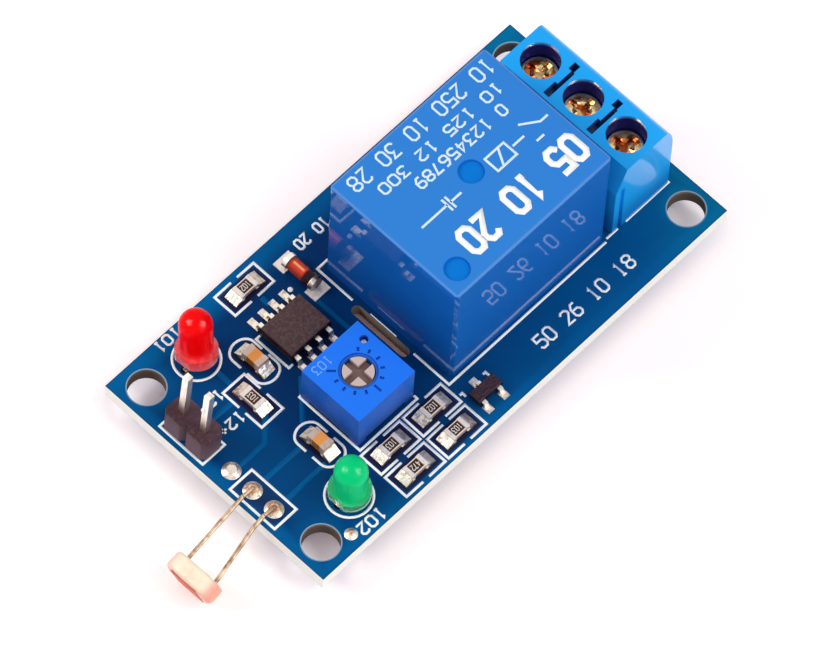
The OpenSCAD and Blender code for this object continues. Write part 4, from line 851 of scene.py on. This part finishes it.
def strokeTree():
    # paths in, flat bars of ink out
    tree = bpy.data.node_groups.new("inkStrokes", "GeometryNodeTree")
    for name, way, kind in (("Paths", "INPUT", "Geometry"), ("Line width", "INPUT", "Float"),
                            ("Ink height", "INPUT", "Float"), ("Ink", "INPUT", "Material"),
                            ("Strokes", "OUTPUT", "Geometry")):
        tree.interface.new_socket(name, in_out=way, socket_type="NodeSocket" + kind)
    add = tree.nodes.new
    source, result = add("NodeGroupInput"), add("NodeGroupOutput")
    toCurve, normal = add("GeometryNodeMeshToCurve"), add("GeometryNodeSetCurveNormal")
    normal.mode = "Z_UP"
    swell = add("GeometryNodeInputNamedAttribute")
    swell.data_type = "FLOAT"
    swell.inputs["Name"].default_value = "swell"
    profile, sweep = add("GeometryNodeCurvePrimitiveQuadrilateral"), add("GeometryNodeCurveToMesh")
    sweep.inputs["Fill Caps"].default_value = True
    real, ink = add("GeometryNodeRealizeInstances"), add("GeometryNodeSetMaterial")
    for one, output, two, socket in (
            (source, "Paths", toCurve, "Mesh"), (toCurve, "Curve", normal, "Curve"),
            (source, "Line width", profile, "Width"), (source, "Ink height", profile, "Height"),
            (normal, "Curve", sweep, "Curve"), (profile, "Curve", sweep, "Profile Curve"),
            (swell, "Attribute", sweep, "Scale"), (sweep, "Mesh", real, "Geometry"),
            (real, "Geometry", ink, "Geometry"), (source, "Ink", ink, "Material"),
            (ink, "Geometry", result, "Strokes")):
        tree.links.new(one.outputs[output], two.inputs[socket])
    return tree


inkTree = strokeTree()


def swellAt(points, i, closed):
    # how much a bar widens at a corner to keep its width
    if not closed and i in (0, len(points) - 1):
        return 1.0
    before = points[i] - points[i - 1]
    after = points[(i + 1) % len(points)] - points[i]
    half = before.xy.angle(after.xy, 0.0) / 2
    return min(1.8, 1 / max(0.2, math.cos(half)))


def drawStrokes(name, paths, z, width, material, height=0.03):
    # paths is a list of lists of (x, y), all in millimetres; a path that ends where it began is closed
    verts, edges, swells = [], [], []
    for path in paths:
        closed = len(path) > 2 and path[0] == path[-1]
        points = [Vector((x, y, z)) for x, y in (path[:-1] if closed else path)]
        start, count = len(verts), len(points)
        verts += [p * mm for p in points]
        edges += [(start + i, start + i + 1) for i in range(count - 1)]
        if closed:
            edges.append((start + count - 1, start))
        swells += [swellAt(points, i, closed) for i in range(count)]
    mesh = bpy.data.meshes.new(name + "Paths")
    mesh.from_pydata(verts, edges, [])
    mesh.attributes.new("swell", "FLOAT", "POINT").data.foreach_set("value", swells)
    piece = newObject(name, mesh)
    modifier = piece.modifiers.new("strokes", "NODES")
    modifier.node_group = inkTree
    inputs = {"Line width": width * mm, "Ink height": height * mm, "Ink": material}
    for item in inkTree.interface.items_tree:
        if item.name in inputs:
            modifier[item.identifier] = inputs[item.name]
    baked = bpy.data.meshes.new_from_object(piece.evaluated_get(bpy.context.evaluated_depsgraph_get()))
    piece.modifiers.clear()
    baked.name = name
    piece.data = baked
    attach(piece, "module")


def figurePaths(words, x0, x1, y0, y1, way="turned"):
    # plain figures that fill a box: straight, turned half round, or sideways with their tops towards -X
    length = fontPlan["step"] * len(words) - fontPlan["space"]
    wide, tall = x1 - x0, y1 - y0
    place = {"straight": lambda u, v: (x0 + u * wide, y0 + v * tall),
             "turned": lambda u, v: (x1 - u * wide, y1 - v * tall),
             "sideways": lambda u, v: (x1 - v * wide, y0 + u * tall)}[way]
    return [[place((number * fontPlan["step"] + u) / length, v / fontPlan["tall"]) for u, v in stroke]
            for number, sign in enumerate(words) for stroke in strokeDigits[sign]]


def ringPath(x, y, radius, sides):
    points = [(x + radius * c, y + radius * s) for c, s in circleSteps(sides)]
    return points + points[:1]


def boxPath(x0, x1, y0, y1):
    return [(x0, y0), (x1, y0), (x1, y1), (x0, y1), (x0, y0)]


def gappedBox(x0, x1, y0, y1, alongX, gap):
    # an outline with a gap in the middle of its long sides
    u0, u1, v0, v1 = (x0, x1, y0, y1) if alongX else (y0, y1, x0, x1)
    middle = (u0 + u1) / 2
    halves = [[(stop, v0), (end, v0), (end, v1), (stop, v1)]
              for end, stop in ((u0, middle - gap / 2), (u1, middle + gap / 2))]
    return halves if alongX else [[(v, u) for u, v in half] for half in halves]


def gappedCapsule(x0, x1, y0, y1, gap):
    # a rounded outline along Y with a gap in the middle of each long side
    radius, x, y = (x1 - x0) / 2, (x0 + x1) / 2, (y0 + y1) / 2
    rise = radius * 0.8
    arc = [(x + radius * math.cos(math.radians(a)), rise * math.sin(math.radians(a))) for a in range(180, -1, -15)]
    return [[(x - radius, y + side * gap / 2)] + [(u, end + side * v) for u, v in arc]
            + [(x + radius, y + side * gap / 2)] for side, end in ((-1, y0 + rise), (1, y1 - rise))]


inkPlan = {"whiteInk": (1.0, 1.0, 1.0), "relayInk": (0.66, 0.83, 0.95), "trimmerInk": (0.10, 0.34, 0.90),
           "chipInk": (0.86, 0.80, 0.74), "uneven": (0.72, 0.80, 0.88)}


def inkFinish(name, plan):
    # screen-printed ink, a little uneven
    f = Finish(name)
    patch = f.noise(7.0, 4.0, 0.7)
    return f.done(f.mix(patch * 0.04, plan[name], plan["uneven"]), 0.45 + patch * 0.15, f.bump(patch, 0.2, 0.01), shine=1.0)


boardPrintPlan = {
    "z": 1.605, "line": 0.235, "thin": 0.21, "hair": 0.10, "gap": 0.75, "traceZ": 1.6, "traceWidth": 0.54,
    "rings": [(-17.65, 9.3, 2.1, 32), (-17.75, -9.0, 2.1, 32), (-7.2, 8.3, 0.13, 10)],    # x, y, radius and sides
    "boxes": [(-24.45, -21.8, 1.85, 7.0), (-24.5, -21.85, -6.75, -1.45)],
    "lines": [
        [(-12.2, 3.1), (-12.7, 3.1), (-12.7, 7.0), (-12.2, 7.0)],
        [(-4.25, -9.05), (-3.95, -9.05), (-3.95, -9.5)], [(-1.4, -9.05), (-1.1, -9.05), (-1.1, -9.5)],
        [(-13.6, 0.5), (-14.05, 0.5), (-14.05, -6.7), (-7.05, -6.7), (-7.05, -6.3)],
        [(-3.3, 8.05), (-4.15, 8.05), (-4.15, 3.8)], [(-4.15, -3.5), (-4.15, -7.7), (15.35, -7.7)],
        [(15.35, 8.05), (-3.3, 8.05)], [(15.6, -7.5), (17.0, -7.5)],
        [(18.0, -7.5), (23.4, -7.5), (23.4, 7.7), (15.6, 7.7)]],
    "gapped": [    # x0, x1, y0, y1 and whether the long sides run along X
        (-12.35, -7.6, 9.85, 12.35, True), (-18.4, -15.8, 0.75, 5.4, False),
        (-14.4, -9.65, -9.57, -7.1, True), (-9.25, -4.6, -9.57, -7.1, True),
        (-14.4, -9.65, -12.55, -9.99, True), (-9.25, -4.6, -12.55, -9.99, True)],
    "capsules": [(-15.6, -13.0, 3.2, 8.05), (-17.35, -14.75, -6.3, -1.45)],
    "besideSlot": [(-4.02, 1.8), (-4.02, -1.3)],
    "figures": [
        ("101", -19.4, -16.8, 11.85, 12.80), ("102", -19.5, -16.8, -12.55, -11.5), ("12+", -21.3, -18.7, 2.35, 3.3),
        ("12-", -21.0, -18.5, 5.1, 6.0), ("10 20", -3.8, -0.2, 10.3, 11.3),
        ("50 26 10 18", 4.0, 15.7, -11.0, -9.7, "straight")],
    "traces": [
        [(-22.3, -0.45), (-19.3, -0.45), (-17.2, 1.5)], [(-21.8, -2.9), (-17.2, -2.9)],
        [(-21.8, -5.5), (-17.0, -5.5)], [(-17.3, 7.2), (-17.3, 5.4)], [(-15.6, -1.4), (-14.2, 0.0), (-12.5, 1.8)],
        [(-6.3, 6.0), (-6.3, 2.2)], [(-20.8, 4.3), (-18.4, 4.2)], [(-9.5, 9.5), (-9.5, 8.5)],
        [(-20.2, -11.6), (-16.9, -11.6)]],
}


def printBoard(plan, ink):
    lines = [ringPath(*ring) for ring in plan["rings"]] + [boxPath(*box) for box in plan["boxes"]] + plan["lines"]
    for box in plan["gapped"]:
        lines += gappedBox(*box, plan["gap"])
    for box in plan["capsules"]:
        lines += gappedCapsule(*box, plan["gap"])
    drawStrokes("boardOutlines", lines, plan["z"], plan["line"], ink)
    figures = [path for words in plan["figures"] for path in figurePaths(*words)]
    drawStrokes("boardFigures", figures, plan["z"], plan["thin"], ink)
    drawStrokes("slotLine", [plan["besideSlot"]], plan["z"], plan["hair"], ink)
    traceMask = boardFinish(boardPlan, "maskOverTraces", True)
    drawStrokes("boardTraces", plan["traces"], plan["traceZ"], plan["traceWidth"], traceMask)


whiteInk = inkFinish("whiteInk", inkPlan)
printBoard(boardPrintPlan, whiteInk)

relayPrintPlan = {
    "above": 0.005, "thin": 0.2, "signLine": 0.22, "bold": 0.56,
    "figures": [("10 250 10 30 28", -2.3, 14.6, 5.6, 7.0), ("10 125 12 300", -0.8, 13.6, 3.75, 4.75),
                ("0 123456789", 1.8, 12.4, 1.95, 3.0)],
    "boldFigures": ("05 10 20", 0.6, 14.4, -5.6, -3.1),
    "signs": [    # a contact, a coil and a capacitor
        [(14.5, -0.6), (13.6, -0.6), (12.0, 0.5)], [(11.6, -0.6), (10.2, -0.6)], [(12.0, -1.7), (12.9, -1.7)],
        boxPath(7.6, 9.9, -1.4, 0.2), [(8.3, -1.4), (9.2, 0.2)], [(3.9, -0.6), (2.6, -0.6)],
        [(2.6, -1.3), (2.6, 0.1)], [(2.2, -1.3), (2.2, 0.1)], [(2.2, -0.6), (-0.9, -0.6)]],
}


def printRelay(plan, ink, boldInk):
    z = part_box("relay_case")[1].z / mm + plan["above"]
    figures = [path for words in plan["figures"] for path in figurePaths(*words)]
    drawStrokes("relayFigures", figures, z, plan["thin"], ink)
    drawStrokes("relaySymbols", plan["signs"], z, plan["signLine"], ink)
    drawStrokes("relayBoldFigures", figurePaths(*plan["boldFigures"]), z, plan["bold"], boldInk)


printRelay(relayPrintPlan, inkFinish("relayInk", inkPlan), whiteInk)

smallPrintPlan = {
    "height": 0.02,
    "trimmer": ("103", -13.3, -11.4, -0.75, 0.05), "trimmerLine": 0.12, "aboveTrimmer": 0.004,
    "chips": {"resistor_1": "102", "resistor_3": "103", "resistor_4": "102", "resistor_5": "472", "resistor_6": "103",
              "resistor_2": "103"},
    "chipLine": 0.066, "aboveChip": 0.002, "fromEnd": 0.56, "fromSide": 0.36,
}


def printSmallParts(plan):
    trimmerTop = trimmerPlan["top"] + plan["aboveTrimmer"]
    drawStrokes("trimmerFigures", figurePaths(*plan["trimmer"]), trimmerTop, plan["trimmerLine"],
                inkFinish("trimmerInk", inkPlan), plan["height"])
    figures = []
    for node, words in plan["chips"].items():
        low, high = (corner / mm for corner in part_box(node))
        inX, inY, way = plan["fromEnd"], plan["fromSide"], "turned"
        if node in chipPlan["alongY"]:
            inX, inY, way = inY, inX, "sideways"
        figures += figurePaths(words, low.x + inX, high.x - inX, low.y + inY, high.y - inY, way)
    chipTop = high.z + plan["aboveChip"]    # the same for every chip
    drawStrokes("chipFigures", figures, chipTop, plan["chipLine"], inkFinish("chipInk", inkPlan), plan["height"])


printSmallParts(smallPrintPlan)
print("print and traces drawn")
